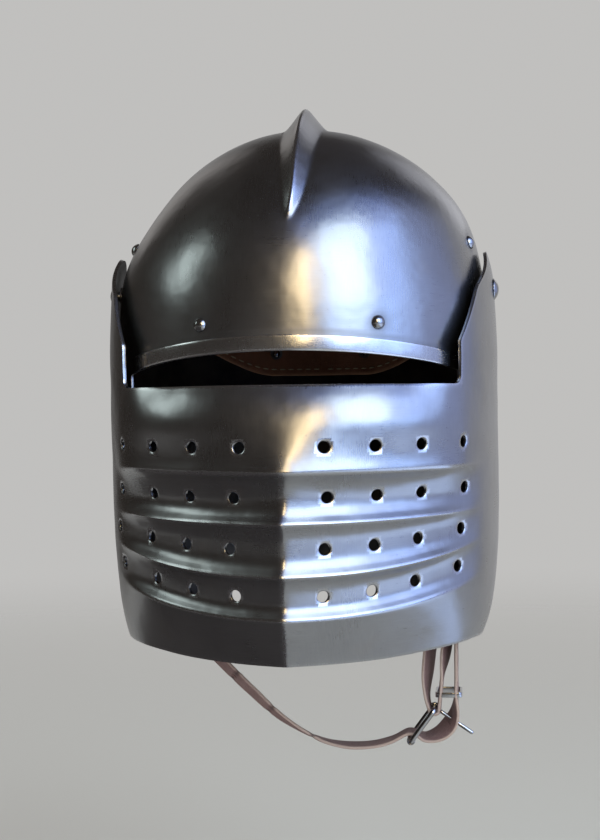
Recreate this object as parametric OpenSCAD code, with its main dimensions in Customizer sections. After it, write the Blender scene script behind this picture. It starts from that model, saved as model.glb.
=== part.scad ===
// Visored sallet: a raised steel bowl with a keel comb, a fluted face visor on two
// side pivots, a riveted leather liner and a buckled chin strap.
// The origin is where the top of the head meets the liner. +Z is up, the face looks
// along -Y and the wearer's left is +X. Sizes are in millimetres.

/* [Plate] */
// Thickness of the steel plates
plate_t = 2; // [1.5:0.1:2.5]
// Free space between the skull and the inside of the visor at the widest place
visor_gap = 2.8; // [2.6:0.1:4]

/* [Skull] */
// Outer width of the skull at its widest
skull_w = 222; // [214:1:230]
// Reach of the forehead in front of the pivots
skull_front = 115; // [110:1:120]
// Reach of the back of the skull behind the pivots
skull_back = 122; // [115:1:130]
// How far behind the pivots the skull is widest
widest_y = 15; // [5:1:25]
// Height of the dome above its widest level
dome_h = 113.5; // [110:0.5:122]
// Top of the dome above the head seat, where the liner leaves its air gap
crown_pad = 17; // [15:0.5:22]
// How far the crown is set over to the wearer's left by the hand raising
crown_set = 5; // [0:0.5:7]
// Drop of the brow edge below the widest level
brow_drop = 21.5; // [18:0.5:24]
// How much lower the ends of the brow edge are than its middle
brow_arch = 10; // [4:0.5:12]
// Depth of the side plates below the widest level
skirt_h = 178; // [170:1:184]
// How much shorter the nape is than the side plates
nape_rise = 14; // [6:1:24]
// How far the side plates draw in at their lower rim
side_draw = 12; // [10:0.5:15]
// How far the nape draws in below the dome
nape_draw = 18; // [10:1:24]
// Outward flare of the tail at the nape
tail_flare = 24; // [14:1:34]

/* [Comb] */
// Height of the keel comb at its highest
comb_h = 13; // [8:0.5:18]
// Width of the comb at its foot
comb_w = 24; // [20:1:32]
// Angle from the crown forward to the tip of the comb
comb_front = 64; // [45:1:68]
// Angle from the crown back to the end of the comb
comb_rear = 78; // [60:1:84]

/* [Brow band] */
// Height of the strip along the brow edge
band_h = 8.5; // [6:0.5:11]
// Thickness of the strip
band_t = 1.1; // [0.8:0.1:1.2]

/* [Visor] */
// Height of the pivots below the head seat
pivot_drop = 79; // [76:0.5:82]
// Height of the sight gap between the brow edge and the visor
sight_h = 18; // [14:0.5:20]
// Reach of the medial ridge in front of the pivots
visor_reach = 126; // [124:0.5:132]
// Height of the visor from its top edge to its lower edge at the ridge
visor_h = 151; // [146:0.5:154]
// Outward throw of the flutes
flute_d = 6; // [3:0.5:7]
// Drop of the first crease below the top edge
first_crease = 47; // [42:0.5:50]
// Spacing of the creases at the ridge
crease_step = 26; // [24:0.5:27]
// Radius of the rounded end of the arm about its pivot
arm_r = 22.5; // [18:0.5:24]
// How far the rear edge of the visor lies behind the pivots
visor_rear = 28; // [24:0.5:32]
// Diameter of the breath holes
breath_d = 6.5; // [5:0.25:7.5]
// Breath holes in each row on each side of the ridge
breath_n = 4; // [3:1:5]

/* [Pivots] */
// Diameter of the pivot shank
pivot_d = 6; // [5:0.25:7]
// Diameter of the pivot's domed head
pivot_head_d = 13; // [11:0.5:15]
// Height of the domed head
pivot_head_h = 3.2; // [2.5:0.1:4.5]
// Outer diameter of the spacer between the skull and the arm
spacer_d = 11; // [9:0.5:12]
// Thickness of the spacer
spacer_t = 0.65; // [0.5:0.05:0.8]

/* [Liner] */
// Thickness of the liner leather
leather_t = 2; // [1.5:0.1:2.6]
// Height of the head band
liner_h = 28; // [24:1:32]
// Diameter of the liner rivets' heads
rivet_head_d = 7.2; // [6:0.2:8.6]
// Height of the liner rivets' heads
rivet_head_h = 2.6; // [2:0.1:3.2]
// Diameter of the liner rivets' shanks
rivet_d = 3; // [2.4:0.1:3.4]
// Outer diameter of the washers under the liner rivets
burr_d = 8; // [7:0.25:9]
// Number of leather tongues over the crown
tongue_n = 8; // [8:1:8]

/* [Chin strap] */
// Width of the straps
strap_w = 18; // [14:0.5:19]
// Thickness of the straps
strap_t = 2.3; // [1.8:0.1:2.5]
// Diameter of the buckle's wire
wire_d = 3; // [2.4:0.1:3.2]
// Wall of the roller
roller_wall = 0.85; // [0.6:0.05:1]
// Distance from the buckle's fixed bar to its roller
buckle_l = 22.4; // [20:0.2:24]
// Length of the prong
prong_l = 26.8; // [25:0.2:29]
// Diameter of the prong
prong_d = 2.2; // [1.8:0.1:2.4]
// Height of the keeper along the strap
keeper_h = 3; // [2.4:0.2:4]

/* [Hidden] */
TONGUES = [for (i = [1 : tongue_n]) str("liner_tongue_", i)];

// Levels, measured from the head seat
widest_z = crown_pad - dome_h;
brow_z = widest_z - brow_drop;
pivot_z = -pivot_drop;
top_z = brow_z - sight_h;
chin_z = top_z - visor_h;
tip_z = pivot_z + arm_r;
skull_half = skull_w / 2;
visor_half = skull_half + visor_gap + plate_t;
// Half width of the face opening, as a place along the plan curve
face_s = 0.66;
// Running clearance of a shaft in its hole, and the space left between leather and plate
run_c = 0.05;
seat_c = 0.3;

// Plain helpers
function lerp(a, b, t) = a + (b - a) * t;
function clamp01(t) = max(0, min(1, t));
function smooth(t) = let (u = clamp01(t)) u * u * (3 - 2 * u);
function unit(v) = v / norm(v);
function bez(a, b, c, d, t) =
    pow(1 - t, 3) * a + 3 * t * pow(1 - t, 2) * b + 3 * t * t * (1 - t) * c + pow(t, 3) * d;
function join(parts) = [for (p = parts) each p];

// A closed plate from an outer and an inner grid of points. keep(i, j) tells which
// cells are there, wrap closes the columns and pole collapses the first row.
function corner(i, j, cols, pole) = pole && i == 0 ? 0 : i * cols + j;
function plate_faces(rows, cols, wrap, pole, keep) =
    let (n = rows * cols, last = wrap ? cols : cols - 1)
    [for (i = [0 : rows - 2]) for (j = [0 : last - 1]) if (keep[i][j])
        let (k = (j + 1) % cols,
             a = corner(i, j, cols, pole),
             b = corner(i, k, cols, pole),
             c = corner(i + 1, k, cols, pole),
             d = corner(i + 1, j, cols, pole),
             left = wrap ? (j + cols - 1) % cols : j - 1,
             right = wrap ? k : j + 1,
             tip = pole && i == 0)
        each concat(
            tip ? [[a, c, d], [a + n, d + n, c + n]]
                : [[a, b, c], [a, c, d], [a + n, c + n, b + n], [a + n, d + n, c + n]],
            !tip && (i == 0 || !keep[i - 1][j]) ? [[b, a, a + n], [b, a + n, b + n]] : [],
            i == rows - 2 || !keep[i + 1][j] ? [[d, c, c + n], [d, c + n, d + n]] : [],
            right < 0 || right > last - 1 || !keep[i][right] ? [[c, b, b + n], [c, b + n, c + n]] : [],
            left < 0 || !keep[i][left] ? [[a, d, d + n], [a, d + n, a + n]] : [])];
module plate(outer, inner, keep, wrap = false, pole = false) {
    polyhedron(points = concat(join(outer), join(inner)),
        faces = plate_faces(len(outer), len(outer[0]), wrap, pole, keep));
}
function all_cells(rows, cols) = [for (i = [0 : rows]) [for (j = [0 : cols]) true]];

// Skull: the half plan is one curve from the forehead (s = 0) by the side (s = 1) to
// the nape (s = 2); a negative s is the wearer's right
function plan_front(a, f, t) =
    bez([0, -f], [0.48 * f, -0.94 * f], [a, -0.54 * f], [a, widest_y], t);
function plan_back(a, b, t) = [a * cos(90 * t), widest_y + (b - widest_y) * sin(90 * t)];
function plan(s, a, f, b) =
    let (u = abs(s), p = u <= 1 ? plan_front(a, f, u) : plan_back(a, b, u - 1))
    [s < 0 ? -p[0] : p[0], p[1]];
function depth(z) = clamp01((widest_z - z) / skirt_h);
function half_at(z) = skull_half - side_draw * pow(depth(z), 3);
function front_at(z) = skull_front - side_draw * pow(depth(z), 2);
function back_at(z) = skull_back - nape_draw * smooth(depth(z) * 1.6)
    + tail_flare * pow(clamp01(depth(z) * 2.6 - 1.45), 2);
// The bowl leans over to its crown between the pivots' spacers and the level lean_h above
lean_h = 50;
function lean(z) = crown_set * smooth((z - pivot_z - spacer_d / 2) / lean_h);
// Keel comb: a ridge over the crown, with hollow flanks, that dies out at both ends
function comb(p, drop, slim) =
    let (u = clamp01((atan2(p[1], p[2] - widest_z) + comb_front) / (comb_front + comb_rear)),
         h = (comb_h - drop) * pow(sin(180 * u), 0.8),
         w = (comb_w / 2 - slim) * pow(sin(180 * u), 0.5) + 0.01,
         x = abs(p[0] - lean(p[2])))
    u <= 0 || u >= 1 || x >= w ? 0 : h * pow(1 - x / w, 1.35);
function base_pt(s, z) =
    let (k = z >= widest_z ? sin(acos(clamp01((z - widest_z) / dome_h))) : 1,
         p = z >= widest_z ? k * plan(s, skull_half, skull_front, skull_back)
                           : plan(s, half_at(z), front_at(z), back_at(z)))
    [p[0] + lean(z), p[1], z];
function out_dir(p) = unit([p[0] - lean(p[2]), p[1], max(0, p[2] - widest_z)]);
// A place on the skull, off millimetres outside its plain surface
function skull_pt(s, z, off = 0) = let (p = base_pt(s, z)) p + off * out_dir(p);
function skull_normal(s, z) =
    unit(cross(base_pt(s + 0.01, z) - base_pt(s - 0.01, z), base_pt(s, z + 0.5) - base_pt(s, z - 0.5)));
function brow_at(s) = brow_z - brow_arch * pow(min(abs(s) / face_s, 1), 2);
function rim_at(s) = widest_z - skirt_h + nape_rise * smooth((abs(s) - 1.1) / 0.9);
skull_cols = [0, 0.012, 0.03, 0.06, 0.1, 0.15, 0.22, 0.3, 0.38, 0.46, 0.54, 0.6, face_s, 0.73,
    0.81, 0.9, 1, 1.12, 1.25, 1.38, 1.5, 1.62, 1.74, 1.84, 1.92, 1.96, 1.985];
skull_s = concat(skull_cols, [2], [for (i = [len(skull_cols) - 1 : -1 : 1]) -skull_cols[i]]);
dome_n = 13;
brow_n = 2;
skirt_n = 10;
skull_rows = dome_n + brow_n + skirt_n + 1;
function skull_z(i, s) =
    i <= dome_n ? widest_z + dome_h * cos(90 * i / dome_n)
    : i <= dome_n + brow_n ? lerp(widest_z, brow_at(s), (i - dome_n) / brow_n)
    : lerp(brow_at(s), rim_at(s), (i - dome_n - brow_n) / skirt_n);
function in_face(s) = abs(s) < face_s - 0.001;
skull_keep = [for (i = [0 : skull_rows - 1]) [for (j = [0 : len(skull_s) - 1])
    i < dome_n + brow_n
    || !(in_face(skull_s[j]) || in_face(skull_s[(j + 1) % len(skull_s)]))]];

// Where the pivots cross the skull, and the spacers that lie on it there
function s_of_pivot(lo = 0, hi = 1, n = 16) =
    n == 0 ? (lo + hi) / 2
    : let (m = (lo + hi) / 2)
      plan_front(skull_half, skull_front, m)[1] < 0 ? s_of_pivot(m, hi, n - 1) : s_of_pivot(lo, m, n - 1);
pivot_s = s_of_pivot();
function skull_x(z) = base_pt(pivot_s, z)[0];
spacer_x = skull_x(pivot_z - spacer_d / 2) + 0.05;
// Free play of the arm on its spacer, for the plate's curve across it
arm_play = 1.3;

// Visor: the half plan runs from the ridge (t = 0) to the widest place (t = 1) and on
// straight to the rear edge
function ridge(z) = smooth((top_z - z) / (0.8 * first_crease));
// Above lean_z the sides lean in to the pivots, and below it to the lower edge
lean_z = top_z - 24;
tip_lean = 4;
foot_draw = 10.4;
arm_lean = visor_half - spacer_x - spacer_t - plate_t - arm_play;
function visor_w(z) =
    z < lean_z ? visor_half - foot_draw * pow(clamp01((lean_z - z) / (lean_z - chin_z)), 4)
    : visor_half - arm_lean * pow(clamp01((z - lean_z) / (pivot_z - lean_z)), 2.5)
        - tip_lean * pow(clamp01((z - pivot_z) / arm_r), 2);
function shrink(z) = visor_w(z) / visor_half;
function visor_plan(t, z) =
    let (r = ridge(z),
         nose = visor_reach * lerp(0.952, 1, r),
         p = bez([0, -nose], [visor_half * lerp(0.535, 0.432, r), -visor_reach * lerp(0.897, 0.77, r)],
                 [visor_half, -0.595 * visor_reach], [visor_half, widest_y], min(t, 1)),
         k = z < top_z ? shrink(z) : 1)
    [p[0] * shrink(z), (p[1] + (t > 1 ? (t - 1) * 100 : 0)) * k];
// The place along the curve that lies y behind the pivots
function t_of_y(y, lo = 0, hi = 1, n = 16) =
    y >= widest_y ? 1 + (y - widest_y) / 100
    : n == 0 ? (lo + hi) / 2
    : let (m = (lo + hi) / 2) visor_plan(m, top_z)[1] < y ? t_of_y(y, m, hi, n - 1) : t_of_y(y, lo, m, n - 1);
function t_of_x(x, z, lo = 0, hi = 1, n = 16) =
    n == 0 ? (lo + hi) / 2
    : let (m = (lo + hi) / 2) visor_plan(m, z)[0] < x ? t_of_x(x, z, m, hi, n - 1) : t_of_x(x, z, lo, m, n - 1);
// Creases climb towards the sides, the lower ones most
side_climb = [3, 5, 15.5, 18];
crease_drop = [first_crease, first_crease + crease_step + 1, first_crease + 2 * crease_step + 3,
    first_crease + 3 * crease_step];
function climb(t) = let (x = visor_plan(min(t, 1), top_z - first_crease)[0]) pow(min(x / 107, 1), 2.5);
function crease_z(k, t) = top_z - crease_drop[k] + side_climb[k] * climb(t);
function rear_y(z) =
    z < pivot_z ? lerp(arm_r, visor_rear, smooth((pivot_z - z) / 60))
    : sqrt(max(16, arm_r * arm_r - pow(z - pivot_z, 2)));
corner_t = 0.62;
corner_y = visor_plan(corner_t, top_z)[1];
function front_y(z) =
    let (line = corner_y + max(0, z - (top_z + 24)) * 0.72,
         arc = -sqrt(max(16, arm_r * arm_r - pow(z - pivot_z, 2))))
    z < pivot_z - 4 ? line : lerp(line, arc, smooth((z - pivot_z + 4) / (arm_r + 2)));
function foot_z(t) =
    let (y = visor_plan(t, chin_z)[1])
    chin_z + 6 * climb(t) + 26 * smooth((y + 18) / (visor_rear + 14));
// Flutes: sharp outward creases with hollow bands between, dying out at the sides
function flute_wave(z, t) =
    let (c = [for (k = [0 : 3]) crease_z(k, t)])
    z > c[0] ? pow(clamp01(1 - (z - c[0]) / (0.62 * first_crease)), 2.2)
    : z < c[3] ? pow(clamp01(1 - (c[3] - z) / (c[3] - foot_z(t))), 1.5) * 1.3 - 0.3
    : let (k = z > c[1] ? 0 : z > c[2] ? 1 : 2, u = (c[k] - z) / (c[k] - c[k + 1]))
      pow(abs(2 * u - 1), 1.7);
function flute(z, t) =
    z > top_z ? 0
    : flute_d * (flute_wave(z, t) - 0.5 * ridge(z)) * (1 - smooth((t - 0.5) / 0.27));
function visor_pt(t, z, off = 0) =
    let (p = visor_plan(abs(t), z), u = unit(p), q = p + (off + flute(z, abs(t))) * u)
    [t < 0 ? -q[0] : q[0], q[1], z];
arm_n = 9;
band_rows = [6, 4, 4, 4, 4];
front_cols = [0, 0.05, 0.1, 0.16, 0.22, 0.28, 0.34, 0.4, 0.46, 0.52, 0.57];
side_n = 9;
half_cols = len(front_cols) + side_n;
// Column j counts from the ridge; the side columns spread from the arm's front edge
// to the rear edge at each level
function col_t(j, z) =
    j < len(front_cols) ? front_cols[j]
    : let (a = z <= top_z ? corner_t : t_of_y(front_y(z)), b = t_of_y(rear_y(z)))
      lerp(a, b, (j - len(front_cols)) / side_n);
function level(k, t) = k == 0 ? top_z : k <= 4 ? crease_z(k - 1, t) : foot_z(t);
function sum_to(k) = k == 0 ? 0 : band_rows[k - 1] + sum_to(k - 1);
visor_rows = arm_n + sum_to(5) + 1;
function row_z(i, t) =
    i < arm_n ? lerp(tip_z, top_z, pow(i / arm_n, 1.25))
    : let (m = i - arm_n,
           k = m < sum_to(1) ? 0 : m < sum_to(2) ? 1 : m < sum_to(3) ? 2 : m < sum_to(4) ? 3 : 4)
      lerp(level(k, t), level(k + 1, t), (m - sum_to(k)) / band_rows[k]);
// The rear columns of the lower rows use the level of a first guess of their own place
function visor_grid(off) =
    [for (i = [0 : visor_rows - 1]) [for (j = [-half_cols : half_cols])
        let (m = abs(j), g = col_t(m, top_z - first_crease), z = row_z(i, g), t = col_t(m, z))
        visor_pt(j < 0 ? -t : t, z, off)]];
visor_keep = [for (i = [0 : visor_rows - 1]) [for (j = [-half_cols : half_cols])
    i >= arm_n || j >= len(front_cols) || j < -len(front_cols)]];

// Breath holes: four rows, each centred on a hollow band. They were marked out by hand, so
// each row is set outward by its own amount on the wearer's right and left
row_set = [[-1, 4, 7, 4.5], [-1.5, 0.5, -1, -2]];
function hole_x(n, k, m) = lerp(23.5, 96, pow(n / (breath_n - 1), 0.92)) + row_set[m < 0 ? 0 : 1][k];
function hole_z(k, t) =
    k == 0 ? lerp(crease_z(0, t), top_z, 0.29) : (crease_z(k - 1, t) + crease_z(k, t)) / 2;

// Rivet places on the skull: place along the plan and level
brow_rivet = [0.3, brow_z + 15];
side_rivet = [0.83, pivot_z + 26];
rear_rivet = [1.42, pivot_z - 12];
nape_rivet = [1.82, pivot_z - 32];
// The brow pair is set a little to the wearer's left
brow_set = 0.018;
rivet_places = concat([for (m = [-1, 1]) [m * brow_rivet[0] + brow_set, brow_rivet[1]]],
    [for (r = [side_rivet, rear_rivet, nape_rivet]) for (m = [-1, 1]) [m * r[0], r[1]]]);
chin_anchor = [0.78, -215];
function liner_z(s) =
    let (u = abs(s))
    u < brow_rivet[0] ? brow_rivet[1]
    : u < side_rivet[0] ? lerp(brow_rivet[1], side_rivet[1], smooth((u - brow_rivet[0]) / (side_rivet[0] - brow_rivet[0])))
    : u < 1.02 ? side_rivet[1]
    : u < rear_rivet[0] ? lerp(side_rivet[1], rear_rivet[1], smooth((u - 1.02) / (rear_rivet[0] - 1.02)))
    : lerp(rear_rivet[1], nape_rivet[1], smooth((u - rear_rivet[0]) / (nape_rivet[0] - rear_rivet[0])));
liner_out = plate_t + seat_c + 0.1;
liner_in = liner_out + leather_t;
tongue_out = liner_in + 0.8;

// Turns a child from +Z to the direction n and moves it to p
module aim(p, n) {
    translate(p) rotate([0, acos(n[2]), atan2(n[1], n[0])]) children();
}
module dome_head(d, h) {
    r = (d * d / 4 + h * h) / (2 * h);
    intersection() {
        translate([0, 0, h - r]) sphere(r = r, $fn = 48);
        cylinder(d = d, h = h, $fn = 48);
    }
}
module washer(d, hole, h) {
    difference() {
        cylinder(d = d, h = h, $fn = 48);
        translate([0, 0, -1]) cylinder(d = hole, h = h + 2, $fn = 48);
    }
}

pivot_in = skull_x(pivot_z + pivot_head_d / 2) - plate_t - 0.9;
pivot_out = visor_w(pivot_z) + 0.15;
pivot_hole = pivot_d + 2 * run_c;
burr_t = 1;

module skull() {
    color([0.56, 0.57, 0.6]) difference() {
        plate([for (i = [0 : skull_rows - 1]) [for (s = skull_s)
                  let (z = skull_z(i, s), p = base_pt(s, z)) p + comb(p, 0, 0) * out_dir(p)]],
              [for (i = [0 : skull_rows - 1]) [for (s = skull_s)
                  let (z = skull_z(i, s), p = base_pt(s, z))
                  p + (comb(p, 2.5, 1.5) - plate_t) * out_dir(p)]],
              skull_keep, wrap = true, pole = true);
        for (m = [-1, 1])
            translate([m * skull_half, 0, pivot_z]) rotate([0, 90, 0])
                cylinder(d = pivot_hole, h = 30, center = true, $fn = 48);
        for (r = rivet_places)
            aim(skull_pt(r[0], r[1]), skull_normal(r[0], r[1]))
                cylinder(d = rivet_d + 2 * run_c, h = 14, center = true, $fn = 24);
        for (m = [-1, 1])
            aim(skull_pt(m * chin_anchor[0], chin_anchor[1]), skull_normal(m * chin_anchor[0], chin_anchor[1]))
                cylinder(d = rivet_d + 2 * run_c, h = 14, center = true, $fn = 24);
    }
}

module brow_band() {
    cols = [for (s = skull_s) if (abs(s) <= 0.6) s];
    ordered = concat([for (s = cols) if (s < 0) s], [for (s = cols) if (s >= 0) s]);
    function strip(off) = [for (i = [0 : 2]) [for (s = ordered) skull_pt(s, brow_at(s) + band_h * (1 - i / 2), off)]];
    color([0.66, 0.67, 0.7]) plate(strip(0.15 + band_t), strip(0.15), all_cells(2, len(ordered)));
}

module visor() {
    color([0.6, 0.61, 0.64]) difference() {
        plate(visor_grid(0), visor_grid(-plate_t), visor_keep);
        for (m = [-1, 1])
            translate([m * visor_half, 0, pivot_z]) rotate([0, 90, 0])
                cylinder(d = pivot_hole, h = 30, center = true, $fn = 48);
        for (k = [0 : 3]) for (n = [0 : breath_n - 1]) for (m = [-1, 1])
            let (t0 = t_of_x(hole_x(n, k, m), top_z - first_crease),
                 z = hole_z(k, t0),
                 p = visor_pt(t0, z),
                 q = visor_pt(t0 + 0.01, z) - visor_pt(t0 - 0.01, z),
                 u = unit([-q[1], q[0], 0]))
            aim([m * p[0], p[1], z], [-m * u[0], -u[1], 0])
                cylinder(d = breath_d, h = 16, center = true, $fn = 24);
    }
}

// One pivot: a domed head outside the arm, a shank through both plates and a peened
// tail inside
module pivot_rivet(m) {
    color([0.7, 0.7, 0.72]) translate([0, 0, pivot_z]) rotate([0, 90 * m, 0]) {
        translate([0, 0, pivot_out]) dome_head(pivot_head_d, pivot_head_h);
        translate([0, 0, pivot_in - burr_t - 0.1])
            cylinder(d = pivot_d, h = pivot_out - pivot_in + burr_t + 0.2, $fn = 48);
        translate([0, 0, pivot_in - burr_t - 1.3]) cylinder(d = pivot_d + 3, h = 1.2, $fn = 48);
    }
}
module pivot_rivet_left() { pivot_rivet(1); }
module pivot_rivet_right() { pivot_rivet(-1); }
module pivot_ring(m, x, d, t) {
    color([0.5, 0.5, 0.52]) translate([0, 0, pivot_z]) rotate([0, 90 * m, 0])
        translate([0, 0, x]) washer(d, pivot_hole, t);
}
module pivot_spacer_left() { pivot_ring(1, spacer_x, spacer_d, spacer_t); }
module pivot_spacer_right() { pivot_ring(-1, spacer_x, spacer_d, spacer_t); }
module pivot_burr_left() { pivot_ring(1, pivot_in - burr_t, pivot_head_d, burr_t); }
module pivot_burr_right() { pivot_ring(-1, pivot_in - burr_t, pivot_head_d, burr_t); }

// The leather ends and the washer starts this far inside the skull's surface
rivet_grip = liner_in + 0.75;
small_burr_t = 0.8;
module plain_rivet(head_d, head_h, grip) {
    translate([0, 0, 0.08]) dome_head(head_d, head_h);
    translate([0, 0, -grip - small_burr_t - 0.1]) cylinder(d = rivet_d, h = grip + small_burr_t + 0.3, $fn = 24);
    translate([0, 0, -grip - small_burr_t - 0.9]) cylinder(d = rivet_d + 1.6, h = 0.85, $fn = 24);
}
module liner_rivets() {
    color([0.72, 0.72, 0.74]) for (r = rivet_places)
        aim(skull_pt(r[0], r[1]), skull_normal(r[0], r[1])) plain_rivet(rivet_head_d, rivet_head_h, rivet_grip);
}
module liner_burrs() {
    color([0.55, 0.55, 0.57]) for (r = rivet_places)
        aim(skull_pt(r[0], r[1]), skull_normal(r[0], r[1]))
            translate([0, 0, -rivet_grip - small_burr_t]) washer(burr_d, rivet_d + 2 * run_c, small_burr_t);
}

module liner_band() {
    function strip(off) = [for (i = [0 : 3]) [for (s = skull_s)
        skull_pt(s, liner_z(s) + liner_h * (0.5 - i / 3), -off)]];
    color([0.5, 0.33, 0.26]) difference() {
        plate(strip(liner_out), strip(liner_in), all_cells(3, len(skull_s)), wrap = true);
        for (r = rivet_places)
            aim(skull_pt(r[0], r[1]), skull_normal(r[0], r[1]))
                cylinder(d = rivet_d + 0.4, h = 20, center = true, $fn = 24);
    }
}

// Tongues: eight petals from the band to the lace, leaving the dome as they rise
tongue_tip = 14;
tongue_air = 10.5;
module liner_tongue(k) {
    mid = (k < tongue_n / 2 ? 0.25 + 0.5 * k : -0.25 - 0.5 * (k - tongue_n / 2));
    rows = 8;
    function side_s(j) = mid + lerp(-0.2, 0.2, j / 4);
    function tongue_z(i, s) =
        let (low = liner_z(s) + 6, u = i / rows,
             a = low > widest_z ? acos((low - widest_z) / dome_h) : 90,
             low_gap = min(0, low - widest_z))
        u == 1 ? low : widest_z + dome_h * cos(lerp(tongue_tip, a, u)) + low_gap * u;
    function gap(i) = lerp(tongue_air, tongue_out, smooth(i / rows * 1.25));
    function petal(extra) = [for (i = [0 : rows]) [for (j = [0 : 4])
        skull_pt(side_s(j), tongue_z(i, side_s(j)), -gap(i) - extra)]];
    color([0.55, 0.37, 0.29]) plate(petal(0), petal(leather_t), all_cells(rows, 4));
}

lace_r = 1.5;
module crown_lace() {
    ring = skull_half * sin(tongue_tip) - (tongue_air + leather_t) * sin(tongue_tip);
    z = widest_z + dome_h * cos(tongue_tip) - tongue_air - leather_t - seat_c - lace_r;
    color([0.75, 0.66, 0.52]) translate([lean(z), 0, z])
        rotate_extrude($fn = 72) translate([ring, 0]) circle(r = lace_r, $fn = 24);
}

// Chin strap: both straps hang in one plane across the helmet, level with their anchors
wall_gap = plate_t + 0.95 + strap_t / 2;
function wall_x(z) = skull_pt(chin_anchor[0], z, -wall_gap)[0];
strap_y = skull_pt(chin_anchor[0], chin_anchor[1], -wall_gap)[1];
anchor_z = chin_anchor[1];
anchor_n = skull_normal(chin_anchor[0], anchor_z);
anchor_twist = atan2(-anchor_n[1], anchor_n[0]);
bar = [76.8, -321.5];
bar_dir = unit([-13.4, -18]);
roller = bar + buckle_l * bar_dir;
wire_r = wire_d / 2;
fold_r = wire_r + seat_c + strap_t / 2;
roller_r = wire_r + run_c + roller_wall;
pass_r = roller_r + seat_c + strap_t / 2 + 0.35;
// How far a strap has left the plate at d below its rivet
function slack(d) = 1.6 * pow(max(0, -d) / 35, 1.3) + (d > 0 ? 0.3 : 0);
// Places [x, z, twist] of each strap's middle, from its riveted end
long_path = concat(
    [for (d = [21, 0, -19]) [-wall_x(anchor_z + d) + slack(d), anchor_z + d, anchor_twist]],
    [[-88, -249, 22], [-79, -262, 25], [-62, -280, 27], [-46, -296.5, 27], [-30, -312, 26], [-12, -328, 20],
     [8, -339.5, 10], [24, -343.6, 2], [40, -343.5, 0], [52, -340.5, 0],
     [roller[0] - 0.55 * pass_r, roller[1] + 0.84 * pass_r, 0],
     [roller[0] + 0.72 * pass_r, roller[1] + 0.7 * pass_r, 0], [71.5, -338.8, 0], [79.2, -336.8, 0],
     [85, -331.8, 0], [88.4, -324.5, 0], [89.4, -314, 0], [89.6, -303, 0], [89.7, -290, 0],
     [89.9, -278.6, 0]]);
short_path = concat(
    [for (d = [21, 0, -18, -35]) [wall_x(anchor_z + d) - slack(d), anchor_z + d, anchor_twist]],
    [[87.9, -262, 16], [85.5, -277, 8], [83.4, -292, 2], [81.2, -306, 0]],
    [for (a = [15 : -39 : -180]) [bar[0] + fold_r * cos(a), bar[1] + fold_r * sin(a), 0]],
    [[72.6, -314, 0], [73, -303, 0], [74.4, -290, 0], [75.6, -276, 0]]);
// A smooth curve through the places, n steps to each
function spline(p, n) =
    [for (i = [0 : len(p) - 2]) for (k = [0 : n - 1])
        let (a = p[max(i - 1, 0)], b = p[i], c = p[i + 1], d = p[min(i + 2, len(p) - 1)], t = k / n)
        0.5 * (2 * b + (c - a) * t + (2 * a - 5 * b + 4 * c - d) * t * t + (3 * b - a - 3 * c + d) * t * t * t),
     p[len(p) - 1]];
// One face of a strap, off millimetres from its middle; side is 1 on the wearer's left
function strap_face(q, side, slot, off) =
    [for (i = [0 : len(q) - 1])
        let (a = q[max(i - 1, 0)], b = q[min(i + 1, len(q) - 1)],
             t = unit([b[0] - a[0], 0, b[1] - a[1]]),
             n = side * [-t[2], 0, t[0]],
             w = cos(q[i][2]) * [0, 1, 0] + sin(q[i][2]) * n,
             m = cross(t, w))
        [for (x = [-strap_w / 2, -slot / 2, slot / 2, strap_w / 2])
            [q[i][0], strap_y, q[i][1]] + x * w + off * m]];
// A flat strap along the path q, with a slot in its middle wherever it runs within
// reach of the place hole
module strap(q, side, slot, hole, reach) {
    keep = [for (i = [0 : len(q) - 2])
        let (open = norm([(q[i][0] + q[i + 1][0]) / 2, (q[i][1] + q[i + 1][1]) / 2] - hole) < reach)
        [true, !open, true]];
    plate(strap_face(q, side, slot, strap_t / 2), strap_face(q, side, slot, -strap_t / 2), keep);
}
prong_dir = unit([22.1, -15.1]);
prong_slot = prong_d + 1.4;
prong_hole = bar + 12 * prong_dir + 0.8 * [-prong_dir[1], prong_dir[0]];
module chin_strap_long() {
    color([0.63, 0.47, 0.44]) difference() {
        strap(spline(long_path, 4), -1, prong_slot, prong_hole, prong_d + 1.6);
        aim(skull_pt(-chin_anchor[0], anchor_z), skull_normal(-chin_anchor[0], anchor_z))
            cylinder(d = rivet_d + 0.4, h = 24, center = true, $fn = 24);
    }
}
module chin_strap_short() {
    color([0.66, 0.5, 0.46]) difference() {
        strap(spline(short_path, 3), 1, 5, bar, 6.2);
        aim(skull_pt(chin_anchor[0], anchor_z), anchor_n)
            cylinder(d = rivet_d + 0.4, h = 24, center = true, $fn = 24);
    }
}
chin_grip = wall_gap + strap_t / 2 + 0.1;
module chin_rivets() {
    color([0.72, 0.72, 0.74]) for (m = [-1, 1])
        aim(skull_pt(m * chin_anchor[0], chin_anchor[1]), skull_normal(m * chin_anchor[0], chin_anchor[1]))
            plain_rivet(rivet_head_d, 1.1, chin_grip);
}
module chin_burrs() {
    color([0.55, 0.55, 0.57]) for (m = [-1, 1])
        aim(skull_pt(m * chin_anchor[0], chin_anchor[1]), skull_normal(m * chin_anchor[0], chin_anchor[1]))
            translate([0, 0, -chin_grip - small_burr_t]) washer(burr_d, rivet_d + 2 * run_c, small_burr_t);
}

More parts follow.
